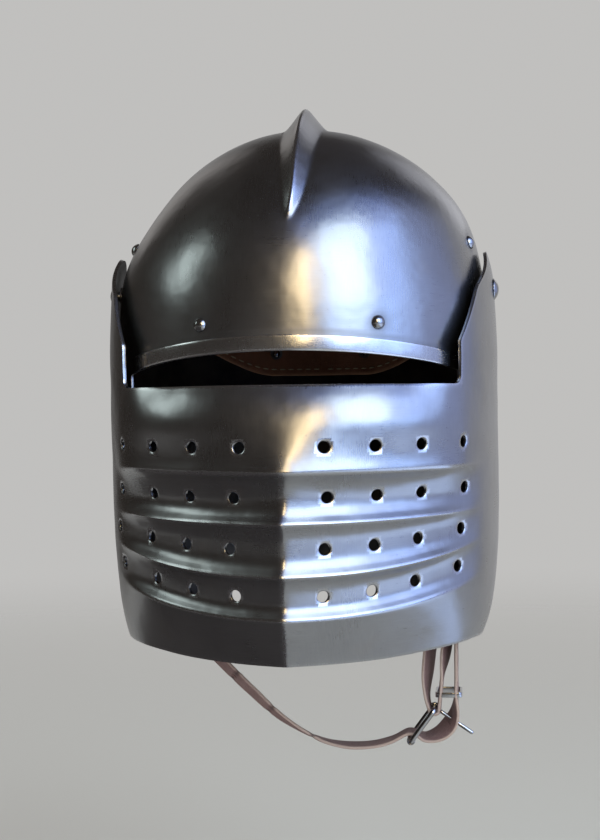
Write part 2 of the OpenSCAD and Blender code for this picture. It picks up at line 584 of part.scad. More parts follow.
// Buckle: a wire frame in the plane of the strap's width and bar_dir
frame_half = strap_w / 2 + 1.2 + wire_r;
module along_y(p, r, l) {
    translate([p[0], strap_y, p[1]]) rotate([90, 0, 0]) cylinder(r = r, h = l, center = true, $fn = 48);
}
module buckle_frame() {
    color([0.72, 0.73, 0.75]) {
        for (p = [bar, roller]) along_y(p, wire_r, 2 * frame_half);
        for (m = [-1, 1]) {
            translate([bar[0], strap_y + m * frame_half, bar[1]])
                rotate([0, atan2(bar_dir[0], bar_dir[1]), 0]) cylinder(r = wire_r, h = buckle_l, $fn = 48);
            for (p = [bar, roller])
                translate([p[0], strap_y + m * frame_half, p[1]]) sphere(r = wire_r, $fn = 48);
        }
    }
}
module buckle_roller() {
    color([0.75, 0.76, 0.78]) difference() {
        along_y(roller, roller_r, 2 * (frame_half - wire_r - seat_c));
        along_y(roller, wire_r + run_c, 2 * frame_half);
    }
}
module buckle_prong() {
    eye_r = wire_r + run_c + 1.2;
    color([0.78, 0.79, 0.8]) difference() {
        union() {
            along_y(bar, eye_r, 3.4);
            translate([bar[0], strap_y, bar[1]]) rotate([0, 90 + atan2(-prong_dir[1], prong_dir[0]), 0]) {
                cylinder(d = prong_d, h = prong_l - prong_d / 2, $fn = 32);
                translate([0, 0, prong_l - prong_d / 2]) sphere(d = prong_d, $fn = 32);
            }
        }
        along_y(bar, wire_r + run_c, 10);
    }
}
keeper_z = -313.2;
keeper_in = [79, 91.4];
keeper_wall = 1.4;
module strap_keeper() {
    mid = (keeper_in[0] + keeper_in[1]) / 2;
    wide = keeper_in[1] - keeper_in[0];
    deep = strap_w + 1.2;
    color([0.72, 0.73, 0.75]) translate([mid, strap_y, keeper_z]) difference() {
        cube([wide + 2 * keeper_wall, deep + 2 * keeper_wall, keeper_h], center = true);
        cube([wide, deep, keeper_h + 2], center = true);
    }
}

skull();
brow_band();
visor();
pivot_rivet_left();
pivot_rivet_right();
pivot_spacer_left();
pivot_spacer_right();
pivot_burr_left();
pivot_burr_right();
liner_rivets();
liner_burrs();
liner_band();
for (k = [0 : tongue_n - 1]) liner_tongue(k);
crown_lace();
chin_strap_long();
chin_strap_short();
chin_rivets();
chin_burrs();
buckle_frame();
buckle_roller();
buckle_prong();
strap_keeper();
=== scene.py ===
# %% [markdown]
# # A sallet with a fluted visor
# A sallet is a raised steel helmet. This one has a keel comb over the crown, a face plate that
# swings up on two side pivots, and a leather liner and a buckled chin strap inside it. The plates
# are thin shells with double curves, so nearly every piece here starts as a flat grid whose
# corners are moved onto a formula. Small hardware is turned or bent from a few simple shapes.

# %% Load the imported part
from math import acos, atan2, cos, degrees, pi, radians, sin, sqrt

import bmesh
import bpy
from mathutils import Matrix, Vector, noise
from mathutils.bvhtree import BVHTree


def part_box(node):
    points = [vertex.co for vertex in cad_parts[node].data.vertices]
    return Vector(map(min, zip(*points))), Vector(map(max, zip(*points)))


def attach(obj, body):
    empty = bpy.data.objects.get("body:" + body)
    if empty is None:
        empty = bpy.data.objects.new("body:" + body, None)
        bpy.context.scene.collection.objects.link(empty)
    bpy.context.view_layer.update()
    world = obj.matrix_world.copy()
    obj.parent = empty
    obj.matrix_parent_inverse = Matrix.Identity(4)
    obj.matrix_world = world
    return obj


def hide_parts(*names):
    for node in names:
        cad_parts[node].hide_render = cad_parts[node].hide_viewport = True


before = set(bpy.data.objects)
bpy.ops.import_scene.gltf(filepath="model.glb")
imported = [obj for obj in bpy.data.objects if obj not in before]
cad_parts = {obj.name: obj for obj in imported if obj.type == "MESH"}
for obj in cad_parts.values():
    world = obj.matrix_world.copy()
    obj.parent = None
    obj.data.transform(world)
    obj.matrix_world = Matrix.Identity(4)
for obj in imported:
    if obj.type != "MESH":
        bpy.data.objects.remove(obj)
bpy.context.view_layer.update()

# %% [markdown]
# ## Camera
# The photograph was taken level with the sight gap, about a metre away and a few degrees round to
# the wearer's left, and it leans a little. A 100 mm lens on a 36 mm wide sensor gives its framing.

# %% Set the camera
MM = 0.001
CAMERA_TURN = 6.0
CAMERA_FAR = 1000.0
CAMERA_LEVEL = -155.0
CAMERA_ASIDE = 2.4
CAMERA_LEAN = 0.7
LENS = 100.0
SENSOR = 36.0

camera = bpy.data.objects.new("camera", bpy.data.cameras.new("camera"))
bpy.context.scene.collection.objects.link(camera)
camera.data.sensor_fit = "HORIZONTAL"
camera.data.sensor_width = SENSOR
camera.data.lens = LENS
turn = radians(CAMERA_TURN)
spot = Vector((CAMERA_FAR * sin(turn), -CAMERA_FAR * cos(turn), CAMERA_LEVEL))
spot -= CAMERA_ASIDE * Vector((cos(turn), sin(turn), 0))
camera.matrix_world = (Matrix.Translation(spot * MM) @ Matrix.Rotation(turn, 4, "Z")
                       @ Matrix.Rotation(pi / 2, 4, "X") @ Matrix.Rotation(radians(-CAMERA_LEAN), 4, "Z"))
bpy.context.scene.camera = camera
print("camera at", [round(x, 3) for x in camera.location])

# %% [markdown]
# ## Light
# Polished steel shows what stands round it, so its look is made by the shapes of the lamps. The
# bands on the helmet in the photograph tell where they stood. A wide cool window is on the right
# of the picture, with a warm strip at its near edge and a bluer one at its far edge, and a small
# pale window is far to the left. Two weak lamps behind shape the back. A lamp's power is given as
# the brightness that it shows, so that its size can change without a change in how bright it looks.

# %% Lamps
LOOK_AT = Vector((0, 0, -0.14))


def aimed(where, way):
    """The matrix that moves a thing to where and turns its +Z along way."""
    return Matrix.Translation(where) @ way.to_track_quat("Z", "Y").to_matrix().to_4x4()


def soft_box(name, azimuth, height, size, radiance, colour, far=1.7, gleam=False):
    """A rectangular lamp. Azimuth 0 is in front of the face, 90 is on the wearer's left. A gleam
    shows only in the steel and leaves floor and leather alone."""
    data = bpy.data.lights.new(name, "AREA")
    data.shape = "RECTANGLE"
    data.size, data.size_y = size
    data.energy = radiance * pi * size[0] * size[1]
    data.color = colour
    lamp = bpy.data.objects.new(name, data)
    bpy.context.scene.collection.objects.link(lamp)
    a, e = radians(azimuth), radians(height)
    way = Vector((sin(a) * cos(e), -cos(a) * cos(e), sin(e)))
    lamp.matrix_world = aimed(LOOK_AT + far * way, way)
    lamp.visible_diffuse = not gleam
    return lamp


soft_box("window", 38, 27, (0.85, 1.45), 3.6, (0.78, 0.94, 1.0))
soft_box("window_glow", 46, 36, (1.9, 1.9), 0.8, (0.25, 0.4, 1.0), far=1.8, gleam=True)
soft_box("window_far_edge", 72, 22, (0.7, 1.3), 1.7, (0.36, 0.55, 1.0), gleam=True)
soft_box("window_near_edge", 10, 20, (0.17, 1.0), 12.0, (1.0, 0.75, 0.38), gleam=True)
soft_box("window_foot", 46, 2, (1.5, 0.45), 1.7, (0.32, 0.55, 1.0), gleam=True)
soft_box("small_window", -80, 27, (0.42, 0.72), 2.2, (0.84, 1.0, 0.95))
soft_box("back_left", 152, 32, (0.5, 0.9), 0.55, (0.9, 0.92, 1.0))
soft_box("back_right", -146, 32, (0.4, 0.9), 0.4, (1.0, 0.95, 0.9))
print("lamps:", len(bpy.data.lights))

# %% [markdown]
# The room is a pale wall all round, the same in every direction. It lights the whole object at one
# plain level, and Standard view keeps the colours as they are written.

# %% World
WALL = (0.53, 0.525, 0.515)
world = bpy.data.worlds.new("studio")
bpy.context.scene.world = world
world.use_nodes = True
world.node_tree.nodes["Background"].inputs["Color"].default_value = (*WALL, 1)
bpy.context.scene.view_settings.view_transform = "Standard"
print("wall colour:", WALL)

# %% [markdown]
# ## Materials as sums
# A finish is easier to read as arithmetic than as wires. A Socket stands for one output of a node
# and takes plus, minus, times and power, and each adds the Math node that works it out. A Finish
# holds one material, and its node method adds any other node in one line.

# %% The socket and finish classes


class Socket:
    """One value in a material, which can be added to, scaled and raised like a number."""

    def __init__(self, finish, link):
        self.finish = finish
        self.link = link

    def sum(self, kind, first, second):
        return self.finish.node("ShaderNodeMath", {"operation": kind}, {0: first, 1: second})

    def __add__(self, other):
        return self.sum("ADD", self, other)

    def __sub__(self, other):
        return self.sum("SUBTRACT", self, other)

    def __rsub__(self, other):
        return self.sum("SUBTRACT", other, self)

    def __mul__(self, other):
        return self.sum("MULTIPLY", self, other)

    def __pow__(self, other):
        return self.sum("POWER", self, other)

    __radd__ = __add__
    __rmul__ = __mul__


class Finish:
    """A procedural material; constants are set on the shader's own sockets."""

    def __init__(self, name, **constants):
        self.material = bpy.data.materials.new(name)
        self.material.use_nodes = True
        self.tree = self.material.node_tree
        self.shader = self.tree.nodes["Principled BSDF"]
        for key, value in constants.items():
            self.shader.inputs[key.replace("_", " ")].default_value = value
        self.place = self.node("ShaderNodeTexCoord", out="Object")

    def node(self, kind, settings=None, given=None, out=0):
        made = self.tree.nodes.new(kind)
        for key, value in (settings or {}).items():
            setattr(made, key, value)
        for key, value in (given or {}).items():
            if isinstance(value, Socket):
                self.tree.links.new(value.link, made.inputs[key])
            else:
                made.inputs[key].default_value = value
        return Socket(self, made.outputs[out])

    def noise(self, scale, detail, rough=0.55, at=None):
        given = {"Vector": at or self.place, "Scale": scale, "Detail": detail, "Roughness": rough}
        return self.node("ShaderNodeTexNoise", None, given, "Fac")

    def stretched(self, scale, turned=(0, 0, 0)):
        given = {"Vector": self.place, "Scale": scale, "Rotation": turned}
        return self.node("ShaderNodeMapping", {"vector_type": "POINT"}, given)

    def own(self, name):
        """An attribute that the mesh carries; it counts as 0 where a mesh has none."""
        return self.node("ShaderNodeAttribute", {"attribute_name": name}, None, "Fac")

    def step(self, value, low, high):
        """Turns low..high smoothly into 0..1, and holds it there outside."""
        given = {"Value": value, "From Min": low, "From Max": high}
        return self.node("ShaderNodeMapRange", {"interpolation_type": "SMOOTHSTEP"}, given, "Result")

    def mix(self, part, first, second):
        """Blends two colours, each a Socket or three numbers; part says how much of the second."""
        made = self.tree.nodes.new("ShaderNodeMix")
        made.data_type = "RGBA"
        for index, value in ((0, part), (6, first), (7, second)):
            if isinstance(value, Socket):
                self.tree.links.new(value.link, made.inputs[index])
            else:
                made.inputs[index].default_value = (*value, 1.0)
        return Socket(self, made.outputs[2])

    def bump(self, height, depth, strength, under=None):
        given = {"Height": height, "Distance": depth, "Strength": strength}
        if under is not None:
            given["Normal"] = under
        return self.node("ShaderNodeBump", None, given, "Normal")

    def feed(self, **links):
        for key, value in links.items():
            self.tree.links.new(value.link, self.shader.inputs[key.replace("_", " ")])
        return self.material


# %% [markdown]
# ## Cards for the steel
# In a pale room polished steel turns flat and white. Photographers hang cards and cloths outside
# the picture, and the steel shows these instead: dark on the wearer's right and overhead, blue as
# daylight on the left. Here that is one painted tent. Its paint fades out with direction, which is
# measured along an arrow, and only rays that a shiny surface sends out meet it.

# %% Hang the tent
DIM = (0.05, 0.042, 0.036)
DAYLIT = (0.48, 0.56, 0.9)
DIM_SIDE = (-0.866, -0.5, 0.0)
DAYLIT_SIDE = (0.966, -0.259, 0.0)
TENT_R = 2.5
FLOOR_Z = -0.5


def in_scene(bm, name, materials):
    """Makes an object of a bmesh and puts it into the scene."""
    mesh = bpy.data.meshes.new(name)
    bm.to_mesh(mesh)
    bm.free()
    for m in materials:
        mesh.materials.append(m)
    piece = bpy.data.objects.new(name, mesh)
    bpy.context.scene.collection.objects.link(piece)
    return piece


def stage_piece(name, bm, material):
    """A piece of the studio, which is no part of the object."""
    piece = in_scene(bm, name, [material])
    return piece


def only_for_steel(name, bm, material):
    """A stage piece that shows in shiny surfaces but neither in the picture nor as a shadow."""
    piece = stage_piece(name, bm, material)
    piece.visible_camera = piece.visible_shadow = False
    piece.visible_diffuse = piece.visible_transmission = False


paint = Finish("tent_paint", Base_Color=(0, 0, 0, 1), Roughness=1.0, Specular_IOR_Level=0.0,
               Emission_Strength=1.0)
way = paint.node("ShaderNodeVectorMath", {"operation": "NORMALIZE"}, {0: paint.place})


def towards(arrow):
    """How far the direction points along an arrow, from -1 to 1."""
    return paint.node("ShaderNodeVectorMath", {"operation": "DOT_PRODUCT"}, {0: way, 1: arrow}, "Value")


up = towards((0.0, 0.0, 1.0))
dark_part = 1 - paint.step(towards(DIM_SIDE), 0.3, -0.42) * paint.step(up, 0.68, 0.28)
blue_part = paint.step(towards(DAYLIT_SIDE), 0.45, 0.8) * paint.step(up, 0.97, 0.7)
cover = dark_part + blue_part - dark_part * blue_part
paint.feed(Emission_Color=paint.mix(blue_part, DIM, DAYLIT), Alpha=cover)
tent_bm = bmesh.new()
bmesh.ops.create_uvsphere(tent_bm, u_segments=64, v_segments=32, radius=TENT_R)
only_for_steel("painted_tent", tent_bm, paint.material)
print("tent of", TENT_R, "m round the helmet")

# %% [markdown]
# The flutes also show what lies low in front of them. A flat panel on the wearer's left throws
# daylight up into them, and a dark card on the other side keeps them dark.

# %% Lay the low panel and the dark card
PANEL_SPOT = (0.87, -0.36, FLOOR_Z + 0.01)
CARD_SPOT = (-0.62, -0.43, FLOOR_Z + 0.006)
CARD_SIZE = (1.3, 1.5)
panel = soft_box("low_panel", 0, 0, (0.9, 1.1), 1.3, (0.4, 0.58, 1.0), gleam=True)
panel.matrix_world = Matrix.Translation(PANEL_SPOT) @ Matrix.Rotation(pi, 4, "X")
panel.visible_camera = False
card_paper = Finish("card_paper", Base_Color=(0.09, 0.075, 0.07, 1), Roughness=0.9)
card_bm = bmesh.new()
bmesh.ops.create_grid(card_bm, x_segments=1, y_segments=1, size=0.5,
                      matrix=Matrix.Translation(CARD_SPOT) @ Matrix.Diagonal((*CARD_SIZE, 1, 1)))
only_for_steel("dark_card", card_bm, card_paper.material)
print("panel at", PANEL_SPOT, "and card at", CARD_SPOT)

# %% [markdown]
# ## Steel
# The plates were planished, sanded and brushed by hand, which leaves a satin grey with fine
# strokes in several directions, cloudy patches where the wheel dwelt, and brighter burnished
# edges. The strokes are noise squeezed thin, in two directions, and they change roughness far more
# than colour. Two attributes on the meshes say where an edge is worn and where painted shade and dust
# darken it.

# %% Steel finishes


def steel(name, tone, rough, strokes=1.0):
    """Satin steel. One attribute brightens burnished edges, and another paints shade with some dust into
    sheltered places.
    """
    f = Finish(name, Metallic=1.0, Specular_IOR_Level=0.5)
    worn, shade_and_soil = f.own("worn"), f.own("shade_and_soil")
    cloud = f.noise(11, 4)
    patch = f.noise(38, 3)
    along = f.noise(1.0, 4, 0.65, f.stretched((90, 90, 1500)))
    across = f.noise(1.0, 4, 0.65, f.stretched((1300, 120, 120), (0.25, 0.5, 0.7)))
    pick = f.step(f.noise(17, 2), 0.42, 0.58)
    stroke = along * pick + across * (1 - pick)
    pores = f.step(f.noise(620, 2), 0.66, 0.76)
    dark = tuple(c * 0.82 for c in tone)
    warm = (tone[0] * 0.98, tone[1] * 0.92, tone[2] * 0.84)
    bright = tuple(min(1, c * 1.75) for c in tone)
    colour = f.mix(f.step(cloud, 0.34, 0.68), dark, tone)
    colour = f.mix(f.step(patch, 0.56, 0.78) * 0.4, colour, warm)
    colour = f.mix(f.step(stroke, 0.4, 0.75) * 0.08, colour, bright)
    colour = f.mix(worn * 0.8, colour, bright)
    # Painted shade with some dust: the steel goes near black round the rivet heads and in the angle over
    # the brow band.
    colour = f.mix(shade_and_soil * 0.75, colour, (0.045, 0.037, 0.032))
    colour = f.mix(pores * 0.15, colour, (0.05, 0.04, 0.035))
    gloss = (rough + (cloud - 0.5) * 0.12 + (patch - 0.5) * 0.08 + (stroke - 0.5) * 0.08 * strokes
             - worn * 0.06 + shade_and_soil * 0.22 + pores * 0.08)
    hills = f.bump(f.noise(58, 2), 0.0011, 0.30)
    normal = f.bump(stroke, 0.00008 * strokes, 0.14, hills)
    return f.feed(Base_Color=colour, Roughness=gloss, Normal=normal)


plate_steel = steel("plate_steel", (0.36, 0.36, 0.375), 0.29)
band_steel = steel("band_steel", (0.46, 0.46, 0.475), 0.27)
rivet_steel = steel("rivet_steel", (0.42, 0.42, 0.43), 0.22, strokes=0.4)
dull_iron = steel("dull_iron", (0.20, 0.195, 0.19), 0.45)


def blackened_and_shaded(name):
    """The inside of the plates, near black: partly forge scale wiped with oil, partly painted shade for
    the hollow of the helmet.
    """
    f = Finish(name, Metallic=0.75)
    scale = f.noise(45, 5, 0.6)
    beaten = f.noise(26, 2)
    # Painted shade with forge scale: the colours stay near black so that the inside reads as dark.
    colour = f.mix(f.step(scale, 0.35, 0.7), (0.018, 0.018, 0.021), (0.055, 0.050, 0.048))
    rust = f.step(f.noise(90, 4), 0.62, 0.75)
    colour = f.mix(rust * 0.5, colour, (0.085, 0.045, 0.025))
    normal = f.bump(beaten, 0.002, 0.5)
    return f.feed(Base_Color=colour, Roughness=0.48 + (scale - 0.5) * 0.4, Normal=normal)


shaded_inner_steel = blackened_and_shaded("shaded_inner_steel")
print("steels:", [m.name for m in (plate_steel, band_steel, rivet_steel, dull_iron, shaded_inner_steel)])

# %% [markdown]
# ## Sizes and plain helpers
# The frame's numbers are in metres, but a helmet is made in millimetres, so the shapes are worked
# out in millimetres and turned into metres as each corner is placed. The origin is the spot where
# the top of the head meets the liner.

# %% Sizes of the plates
PLATE = 2.0
SKULL_HALF = 111.0
SKULL_FRONT = 115.0
SKULL_BACK = 122.0
WIDEST_Y = 15.0
WIDEST_Z = -96.5
DOME_H = 113.5
BROW_Z = -118.0
BROW_ARCH = 10.0
FACE_S = 0.66
SKIRT_H = 178.0
NAPE_RISE = 14.0
SIDE_DRAW = 12.0
NAPE_DRAW = 18.0
TAIL_FLARE = 24.0
NOSE_ROUND = 0.07
CROWN_SET = 5.0
PIVOT_Z = -79.0
LEAN_FROM = PIVOT_Z + 5.5
LEAN_H = 50.0


def between(a, b, t):
    """a where t is 0, b where t is 1, and in proportion between."""
    return a + (b - a) * t


def held(t):
    return max(0.0, min(1.0, t))


def smooth(t):
    """An even climb from 0 to 1 that starts and ends gently."""
    u = held(t)
    return u * u * (3 - 2 * u)


def closeness(distance, reach):
    """1 on the spot, falling gently to 0 at the reach."""
    return smooth(1 - distance / reach)


def blunted(distance, round_off):
    """A distance that starts flat instead of as a corner."""
    return sqrt(distance ** 2 + round_off ** 2) - round_off


def bezier(a, b, c, d, t):
    """The place at t on a curve that starts at a, ends at d and is drawn towards b and c."""
    w = ((1 - t) ** 3, 3 * t * (1 - t) ** 2, 3 * t * t * (1 - t), t ** 3)
    return tuple(w[0] * p + w[1] * q + w[2] * r + w[3] * s for p, q, r, s in zip(a, b, c, d))


def half_way(test):
    """The place between 0 and 1 where test turns from true to false, found by halving."""
    low, high = 0.0, 1.0
    for _ in range(26):
        mid = (low + high) / 2
        low, high = (mid, high) if test(mid) else (low, mid)
    return (low + high) / 2


# %% [markdown]
# A grid is the easiest start for a shell. Each corner knows its column and row, so one function
# can say where it goes, and others can say which cells stay and how worn each corner is.

# %% Grid, mesh and finish helpers


def draped_grid(columns, rows, place):
    """A bmesh grid whose corner in column i and row j lies at place(i, j) millimetres."""
    bm = bmesh.new()
    bmesh.ops.create_grid(bm, x_segments=columns, y_segments=rows, size=0.5)
    column = bm.verts.layers.int.new("column")
    row = bm.verts.layers.int.new("row")
    for v in bm.verts:
        v[column] = round((v.co.x + 0.5) * columns)
        v[row] = round((0.5 - v.co.y) * rows)
    for v in bm.verts:
        v.co = Vector(place(v[column], v[row])) * MM
    return bm


def drop_cells(bm, unwanted):
    """Deletes the grid's cells for which unwanted(column, row) is true."""
    column, row = bm.verts.layers.int["column"], bm.verts.layers.int["row"]
    gone = [f for f in bm.faces
            if unwanted(min(v[column] for v in f.verts), min(v[row] for v in f.verts))]
    bmesh.ops.delete(bm, geom=gone, context="FACES")


def mark(bm, name, amount):
    """Writes amount(vertex) into the attribute called name."""
    layer = bm.verts.layers.float.get(name) or bm.verts.layers.float.new(name)
    for v in bm.verts:
        v[layer] = amount(v)


def face_out(bm, centre=Vector((0, 0, -0.14))):
    """Turns an open shell so that most of its faces point away from centre."""
    if sum(f.normal.dot(f.calc_center_median() - centre) * f.calc_area() for f in bm.faces) < 0:
        bmesh.ops.reverse_faces(bm, faces=bm.faces[:])


def weld(bm, dist=0.001):
    """Joins corners that lie on each other, within dist millimetres."""
    bmesh.ops.remove_doubles(bm, verts=bm.verts[:], dist=dist * MM)


def outward(bm):
    """Turns every face of a closed mesh to the outside."""
    bmesh.ops.recalc_face_normals(bm, faces=bm.faces[:])


def verts_in(geometry):
    """The corners in what a bmesh operator gives back."""
    return [g for g in geometry if isinstance(g, bmesh.types.BMVert)]


def finished(bm, name, materials):
    """Makes an object of a bmesh, with its faces shaded smooth."""
    for f in bm.faces:
        f.smooth = True
    return in_scene(bm, name, materials)


def soften(piece, width, steps, angle):
    """Rounds the piece's edges that are sharper than angle, width millimetres wide."""
    bevel = piece.modifiers.new("rounded edges", "BEVEL")
    bevel.width = width * MM
    bevel.segments = steps
    bevel.limit_method = "ANGLE"
    bevel.angle_limit = radians(angle)


def thicken(piece, thickness):
    """Gives an open shell its wall, on the inner side."""
    wall = piece.modifiers.new("wall", "SOLIDIFY")
    wall.thickness = thickness * MM
    wall.offset = -1
    wall.use_even_offset = True


# %% [markdown]
# ## The skull
# The skull is raised from one sheet. Its plan is a long egg, the dome shrinks that plan towards
# the crown, and the side plates run down to the rim and turn out into a short tail at the nape.
# The same plan is used at every level, so the hammered surface flows without a seam.

# %% The skull's surface


def plan(s, half, front, back):
    """The half plan: s is 0 at the brow, 1 at the side and 2 at the nape; negative is the right."""
    u = abs(s)
    if u <= 1:
        poles = ((0, -front), (0.48 * front, -0.94 * front), (half, -0.54 * front), (half, WIDEST_Y))
        blunt = sqrt(u * u + NOSE_ROUND ** 2) - NOSE_ROUND * (1 - u)
        x, y = bezier(*poles, u)[0], bezier(*poles, min(1.0, blunt))[1]
    else:
        x = half * cos(pi / 2 * (u - 1))
        y = WIDEST_Y + (back - WIDEST_Y) * sin(pi / 2 * (u - 1))
    return (-x if s < 0 else x), y


def skull_at(s, z, off=0.0):
    """A place on the skull's plain surface, off millimetres outside it."""
    depth = held((WIDEST_Z - z) / SKIRT_H)
    half = SKULL_HALF - SIDE_DRAW * depth ** 3
    front = SKULL_FRONT - SIDE_DRAW * depth ** 2
    back = (SKULL_BACK - NAPE_DRAW * smooth(depth * 1.6)
            + TAIL_FLARE * held(depth * 2.6 - 1.45) ** 2)
    x, y = plan(s, half, front, back)
    if z > WIDEST_Z:
        k = sqrt(max(0.0, 1 - ((z - WIDEST_Z) / DOME_H) ** 2))
        x, y = k * x, k * y
    p = Vector((x + lean(z), y, z))
    return p + off * out_of(p)


def lean(z):
    """How far the bowl is set over to the wearer's left at a level; hand raising is never true."""
    return CROWN_SET * smooth((z - LEAN_FROM) / LEAN_H)


def out_of(p):
    """The way straight out of the bowl at p."""
    return Vector((p.x - lean(p.z), p.y, max(0.0, p.z - WIDEST_Z))).normalized()


def skull_normal(s, z):
    side = skull_at(s + 0.01, z) - skull_at(s - 0.01, z)
    return side.cross(skull_at(s, z + 0.5) - skull_at(s, z - 0.5)).normalized()


def brow_edge(s):
    """The level of the edge over the face, which arches down to both sides."""
    return BROW_Z - BROW_ARCH * min(abs(s) / FACE_S, 1) ** 2


def rim_edge(s):
    """The level of the lower rim, which rises a little towards the nape."""
    return WIDEST_Z - SKIRT_H + NAPE_RISE * smooth((abs(s) - 1.1) / 0.9)


# %% [markdown]
# The keel comb is pulled out of the same sheet. It is a blade with hollow flanks that is highest
# over the crown and dies out in a sharp prow above the brow. Rounding the distance from the ridge
# by a fraction of a millimetre keeps its crest from becoming a knife edge.

# %% The comb, and the hammered unevenness of every plate
COMB_H = 13.0
COMB_HALF = 12.0
COMB_FRONT = 64.0
COMB_REAR = 78.0
CREST_ROUND = 1.0
HAMMER_MARKS = ((0.16, 31), (0.07, 13))


def comb(p, drop=0.0, slim=0.0):
    """Height of the comb above the dome at p; drop and slim make the hollow under it."""
    u = held((degrees(atan2(p.y, p.z - WIDEST_Z)) + COMB_FRONT) / (COMB_FRONT + COMB_REAR))
    if u <= 0 or u >= 1:
        return 0.0
    arch = sin(pi * u)
    across = blunted(p.x - lean(p.z), CREST_ROUND)
    width = (COMB_HALF - slim) * arch ** 0.5 + 0.01
    return (COMB_H - drop) * arch ** 0.8 * max(0.0, 1 - across / width) ** 1.35


def planish(p, seed=0.0):
    """What is left of the hammer marks after polishing, in millimetres."""
    q = p + Vector((seed, 0, 0))
    return sum(deep * noise.noise(q / wide) for deep, wide in HAMMER_MARKS)


# %% [markdown]
# The grid's columns stand close together over the comb and wider apart at the sides. The cells
# under the brow are taken out, and an inner skin is bridged to the outer one round the rim, so the
# two stay two millimetres apart even under the comb.

# %% Build the skull
HALF_COLUMNS = 104
DOME_ROWS = 72
BROW_ROWS = 12
SKIRT_ROWS = 56
SKULL_ROWS = DOME_ROWS + BROW_ROWS + SKIRT_ROWS

skull_places = [2 * a - 0.8 * sin(2 * pi * a) / pi for a in
                (k / HALF_COLUMNS for k in range(HALF_COLUMNS + 1))]
face_column = min(range(HALF_COLUMNS), key=lambda k: abs(skull_places[k] - FACE_S))
skull_places[face_column] = FACE_S


def skull_s(i):
    """Where column i of the grid lies on the plan."""
    k = i - HALF_COLUMNS
    return skull_places[abs(k)] * (-1 if k < 0 else 1)


def skull_level(j, s):
    if j <= DOME_ROWS:
        return WIDEST_Z + DOME_H * cos(pi / 2 * j / DOME_ROWS)
    if j <= DOME_ROWS + BROW_ROWS:
        return between(WIDEST_Z, brow_edge(s), (j - DOME_ROWS) / BROW_ROWS)
    return between(brow_edge(s), rim_edge(s), (j - DOME_ROWS - BROW_ROWS) / SKIRT_ROWS)


def under_brow(i, j):
    return j >= DOME_ROWS + BROW_ROWS and abs(i + 0.5 - HALF_COLUMNS) < face_column


COMB_DROP_IN = 2.5
COMB_SLIM_IN = 1.5


def skull_skin(drop, slim, inward):
    """One skin of the bowl. drop and slim hollow out the comb, and inward moves the skin inside."""

    def place(i, j):
        s = skull_s(i)
        p = skull_at(s, skull_level(j, s))
        return p + (comb(p, drop, slim) + planish(p) - inward) * out_of(p)

    bm = draped_grid(2 * HALF_COLUMNS, SKULL_ROWS, place)
    drop_cells(bm, under_brow)
    weld(bm, 0.01)
    face_out(bm)
    return bm


# Places and levels of the liner's rivets on one side, from the brow to the nape; the pair at the
# brow sits a little to the wearer's left
RIVET_ROW = ((0.3, BROW_Z + 15), (0.83, PIVOT_Z + 26), (1.42, PIVOT_Z - 12), (1.82, PIVOT_Z - 32))
BROW_SET = 0.018
rivet_places = [(side * s + (BROW_SET if n == 0 else 0), z)
                for n, (s, z) in enumerate(RIVET_ROW) for side in (-1, 1)]
rivet_spots = [skull_at(*place) for place in rivet_places]


def skull_shade_and_soil(v):
    """Painted shade with some dirt: darker round the rivets and in the angle over the brow band."""
    p = v.co / MM
    near = min((p - spot).length for spot in rivet_spots)
    s_here = abs(atan2(p.x, -p.y)) * 0.75
    band_line = closeness(abs(p.z - brow_edge(s_here) - 10.5), 3.0) if s_here < FACE_S else 0.0
    return max(0.8 * closeness(near, 9.0), 0.35 * band_line)


def skull_wear(v):
    """Burnished along the comb's crest, the brow and the rim."""
    p = v.co / MM
    s_here = abs(atan2(p.x, -p.y)) / pi
    high = comb(p)
    aside = abs(p.x - lean(p.z))
    crest = closeness(aside, 2.6) if high > 1.5 or p.z > -40 and aside < 3 else 0.0
    ends = comb(Vector((lean(p.z), p.y, p.z))) > 0.8
    rim = closeness(p.z - (WIDEST_Z - SKIRT_H), 4.0) if s_here < 0.6 else 0.0
    return max(crest if ends else 0.0, rim)


skull_bm = skull_skin(0, 0, 0)
mark(skull_bm, "worn", skull_wear)
mark(skull_bm, "shade_and_soil", skull_shade_and_soil)
inner_bm = skull_skin(COMB_DROP_IN, COMB_SLIM_IN, PLATE)
bmesh.ops.reverse_faces(inner_bm, faces=inner_bm.faces[:])
for f in inner_bm.faces:
    f.material_index = 1
inner_mesh = bpy.data.meshes.new("skull_inner_skin")
inner_bm.to_mesh(inner_mesh)
inner_bm.free()
skull_bm.from_mesh(inner_mesh)
bpy.data.meshes.remove(inner_mesh)
rims = [e for e in skull_bm.edges if e.is_boundary]
bmesh.ops.bridge_loops(skull_bm, edges=rims)
skull = finished(skull_bm, "skull_plate", [plate_steel, shaded_inner_steel])
soften(skull, 0.45, 2, 50)
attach(skull, "shell")
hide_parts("skull")
print("skull:", len(skull.data.polygons), "faces, rim of", len(rims) // 2, "edges")

# %% [markdown]
# ## The brow band
# A narrow strip is laid along the edge of the face opening to stiffen it. It is polished brighter
# than the skull, and its upper edge is chamfered by the file, so it shows as a pale line.

# %% Build the brow band
BAND_H = 8.5
BAND_T = 1.1
BAND_LIFT = 0.15
BAND_S = 0.6
BAND_COLUMNS = 150
BAND_ROWS = 6


def band_place(i, j):
    s = between(-BAND_S, BAND_S, i / BAND_COLUMNS)
    u = j / BAND_ROWS
    crown = 0.18 * (1 - (2 * u - 1) ** 2)
    p = skull_at(s, brow_edge(s) + BAND_H * (1 - u))
    return p + (BAND_LIFT + BAND_T - 0.1 + crown + planish(p)) * out_of(p)


